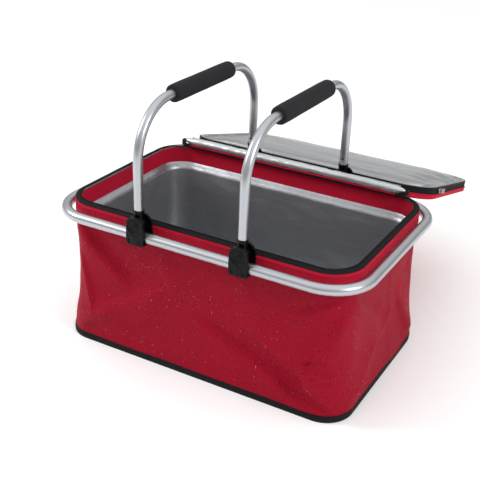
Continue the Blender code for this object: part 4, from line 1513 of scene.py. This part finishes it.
    def build(self) -> None:
        """Makes the foil face, tape, teeth, cover and piping."""
        foil = Surface("lid_foil_face").grid(self.foil(), wrap_v=True, cap=True).build(Finish.LID_FOIL, 70)
        settle(foil, "lid", "lid_foil", "lid_foam")
        tape = Surface("zip_tape_lid").grid(self.edge_tape(), wrap_u=True, wrap_v=True)
        settle(tape.build(Finish.BLACK_WEBBING), "lid", "lid_zip_tape")
        cover = Surface("lid_red_cover").grid(self.shell(), wrap_v=True, cap=True).build(Finish.RED_CLOTH, 60)
        settle(cover, "lid", "lid_cover")
        line = self.ring(np.array([-1.1 * MM]), long=200, short=110, arc=26)
        piping = self.laid(carried(capsule(1.8 * MM, 1.8 * MM, 10, 1.0), line, -self.tape - 0.2 * MM))
        cord = Surface("lid_piping").grid(piping, wrap_u=True, wrap_v=True).build(Finish.RED_CLOTH)
        settle(cord, "lid", slot="lid_cover")
        teeth = Surface("zip_teeth_lid")
        inner = self.ring(np.array([0.5 * MM]), long=220, short=120, arc=26)
        teeth_along(teeth, inner, -1.0 * MM, 1.6 * MM)
        teeth.points = [self.laid(points) for points in teeth.points]
        settle(teeth.build(Finish.ZIP_COIL), "lid", slot="lid_zip_tape")


@dataclass
class ZipSlider:
    """One zip slider on the lid's edge and its pull tab."""

    side: str
    lid: Lid
    size: tuple[float, float, float] = (4 * MM, 11 * MM, 8 * MM)
    at: float = 57 * MM
    tab: tuple[float, float, float] = (1.6 * MM, 17 * MM, 7 * MM)

    def slider(self, way: int) -> Array:
        """A wedge-shaped shell: superellipse sections along the zip, narrow at the tail, with a waist."""
        share = np.linspace(-1, 1, 30)
        taper = (1 - np.abs(share) ** 5) ** 0.5 * 0.97 + 0.03
        flare = 1 + 0.10 * share - 0.16 * np.exp(-((share / 0.35) ** 2))
        section = capsule(self.size[0], self.size[2], 28, 0.55)
        face = self.lid.half_x + 0.3 * MM + self.size[0] / 2
        x = way * (face + section[None, :, 0] * taper[:, None])
        w = -self.lid.tape / 2 + section[None, :, 1] * (taper * flare)[:, None]
        v = np.broadcast_to((self.at + share * self.size[1] / 2)[:, None], x.shape)
        return self.lid.laid(np.stack([x, v, w], 2))

    def pull(self, way: int) -> Array:
        """A thin tab with an eye: a flat ring between its rounded outline and the eye's, closed round."""
        outline, normal = rounded(self.tab[1] / 2, self.tab[2] / 2, 2.6 * MM, long=20, short=10, arc=8)
        turn = np.arctan2(outline[0][:, 1], outline[0][:, 0] - 3 * MM)
        eye = np.stack([3 * MM + 1.6 * MM * np.cos(turn), 1.6 * MM * np.sin(turn)], 1)
        outer = outline[0]
        drawn_in = outer - normal[0] * 0.4 * MM
        loops = ((drawn_in, 1), (outer, 0.5), (outer, -0.5), (drawn_in, -1), (eye, -1), (eye, 1))
        middle = self.at - 1.5 * MM + self.tab[1] / 2
        x = self.lid.half_x + 0.3 * MM + self.size[0] + 0.3 * MM + self.tab[0] / 2
        rings = [
            np.stack([np.full(len(loop), way * (x + up * self.tab[0] / 2)), middle + loop[:, 0],
                      -self.lid.tape / 2 + loop[:, 1]], 1)
            for loop, up in loops
        ]
        return self.lid.laid(np.stack(rings, 1))

    def build(self) -> None:
        """Makes the slider and its tab."""
        way = 1 if self.side == "right" else -1
        body = Surface(f"slider_{self.side}").grid(self.slider(way), wrap_v=True, cap=True)
        settle(body.build(Finish.ZINC, 35), f"slider_{self.side}", f"zip_slider_{self.side}")
        tab = Surface(f"pull_tab_{self.side}").grid(self.pull(way), wrap_u=True, wrap_v=True)
        settle(tab.build(Finish.ZINC, 35), f"tab_{self.side}", f"zip_tab_{self.side}")


# ---- room --------------------------------------------------------------------------------------------


@dataclass(frozen=True)
class Room:
    """A plain pale floor, soft studio lights and the camera."""

    camera_at: tuple[float, float, float] = (0.5547, -1.0278, 0.7294)
    ahead: tuple[float, float, float] = (-0.43176, 0.78587, -0.44271)
    across: tuple[float, float, float] = (0.86797, 0.49552, 0.03310)
    lens: float = 67.17
    lights: tuple[tuple[tuple[float, float, float], float, float], ...] = (
        ((-1.9, -0.9, 1.5), 0.8, 26.0),
        ((2.1, -0.5, 1.3), 0.8, 20.0),
    )

    def camera(self) -> None:
        """Makes the camera from its three directions."""
        lens = bpy.data.cameras.new("camera")
        lens.lens = self.lens
        lens.sensor_width = 36
        seat = bpy.data.objects.new("camera", lens)
        ahead, across = Vector(self.ahead).normalized(), Vector(self.across)
        across = (across - ahead * across.dot(ahead)).normalized()
        up = across.cross(ahead)
        turn = Matrix((across, up, -ahead)).transposed().to_4x4()
        seat.matrix_world = Matrix.Translation(self.camera_at) @ turn
        bpy.context.scene.collection.objects.link(seat)
        bpy.context.scene.camera = seat

    def floor(self) -> None:
        """Makes a wide level floor in matt off-white."""
        shade = Shade("studio_floor")
        grain = shade.noise(shade.place(), 40.0, 3.0)
        shade.set(
            Base_Color=shade.mix(grain, (0.93, 0.93, 0.93, 1), (0.95, 0.95, 0.95, 1)), Roughness=0.75,
            Specular_IOR_Level=0.15,
        )
        mesh = bpy.data.meshes.new("floor")
        half = 14.0
        corners = [(-half, -half, 0), (half, -half, 0), (half, half, 0), (-half, half, 0)]
        mesh.from_pydata(corners, [], [(0, 1, 2, 3)])
        mesh.materials.append(shade.material)
        floor = bpy.data.objects.new("floor", mesh)
        bpy.context.scene.collection.objects.link(floor)

    def build(self) -> None:
        """Sets up the floor, lights, sky and camera."""
        self.floor()
        for number, (place, size, power) in enumerate(self.lights):
            lamp = bpy.data.lights.new(f"softbox_{number}", "AREA")
            lamp.shape, lamp.size, lamp.energy = "DISK", size, power
            box = bpy.data.objects.new(lamp.name, lamp)
            box.location = place
            aim = Vector((0, 0, 0.15)) - Vector(place)
            box.rotation_euler = aim.to_track_quat("-Z", "Y").to_euler()
            bpy.context.scene.collection.objects.link(box)
        world = bpy.data.worlds.new("studio")
        world.use_nodes = True
        tree = world.node_tree
        way = tree.nodes.new("ShaderNodeSeparateXYZ")
        tree.links.new(tree.nodes.new("ShaderNodeTexCoord").outputs["Generated"], way.inputs[0])
        rise = tree.nodes.new("ShaderNodeMapRange")
        tree.links.new(way.outputs["Z"], rise.inputs["Value"])
        for name, value in (("From Min", 0.05), ("From Max", 0.85), ("To Min", 0.26), ("To Max", 1.25)):
            rise.inputs[name].default_value = value
        tree.links.new(rise.outputs["Result"], tree.nodes["Background"].inputs["Strength"])
        tree.nodes["Background"].inputs["Color"].default_value = (1, 1, 1, 1)
        bpy.context.scene.world = world
        bpy.context.scene.view_settings.view_transform = "Standard"
        self.camera()


def dress(nodes: dict, node: str, finish: Finish) -> None:
    """Gives a frame node that stays in view its finish."""
    kept = nodes[node]
    kept.data.materials.clear()
    kept.data.materials.append(finish.material)


def main() -> None:
    """Builds every sub-assembly round the frame, then the room."""
    logging.basicConfig(level=logging.INFO, format="%(message)s")
    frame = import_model()
    Room().build()
    nodes = frame["nodes"]
    lid = Lid()
    cover = Cover()
    makers = [Foot(nodes), cover, WaterBeads(cover), Lining(), Rim(), FoilRoll(), HingeCloth()]
    makers += [Bracket(nodes, side, end) for side in ("left", "right") for end in ("front", "back")]
    makers += [Handle("left"), Handle("right"), lid, ZipSlider("left", lid), ZipSlider("right", lid)]
    for maker in makers:
        maker.build()
        LOG.info("%s done", type(maker).__name__)


if __name__ == "__main__":
    main()
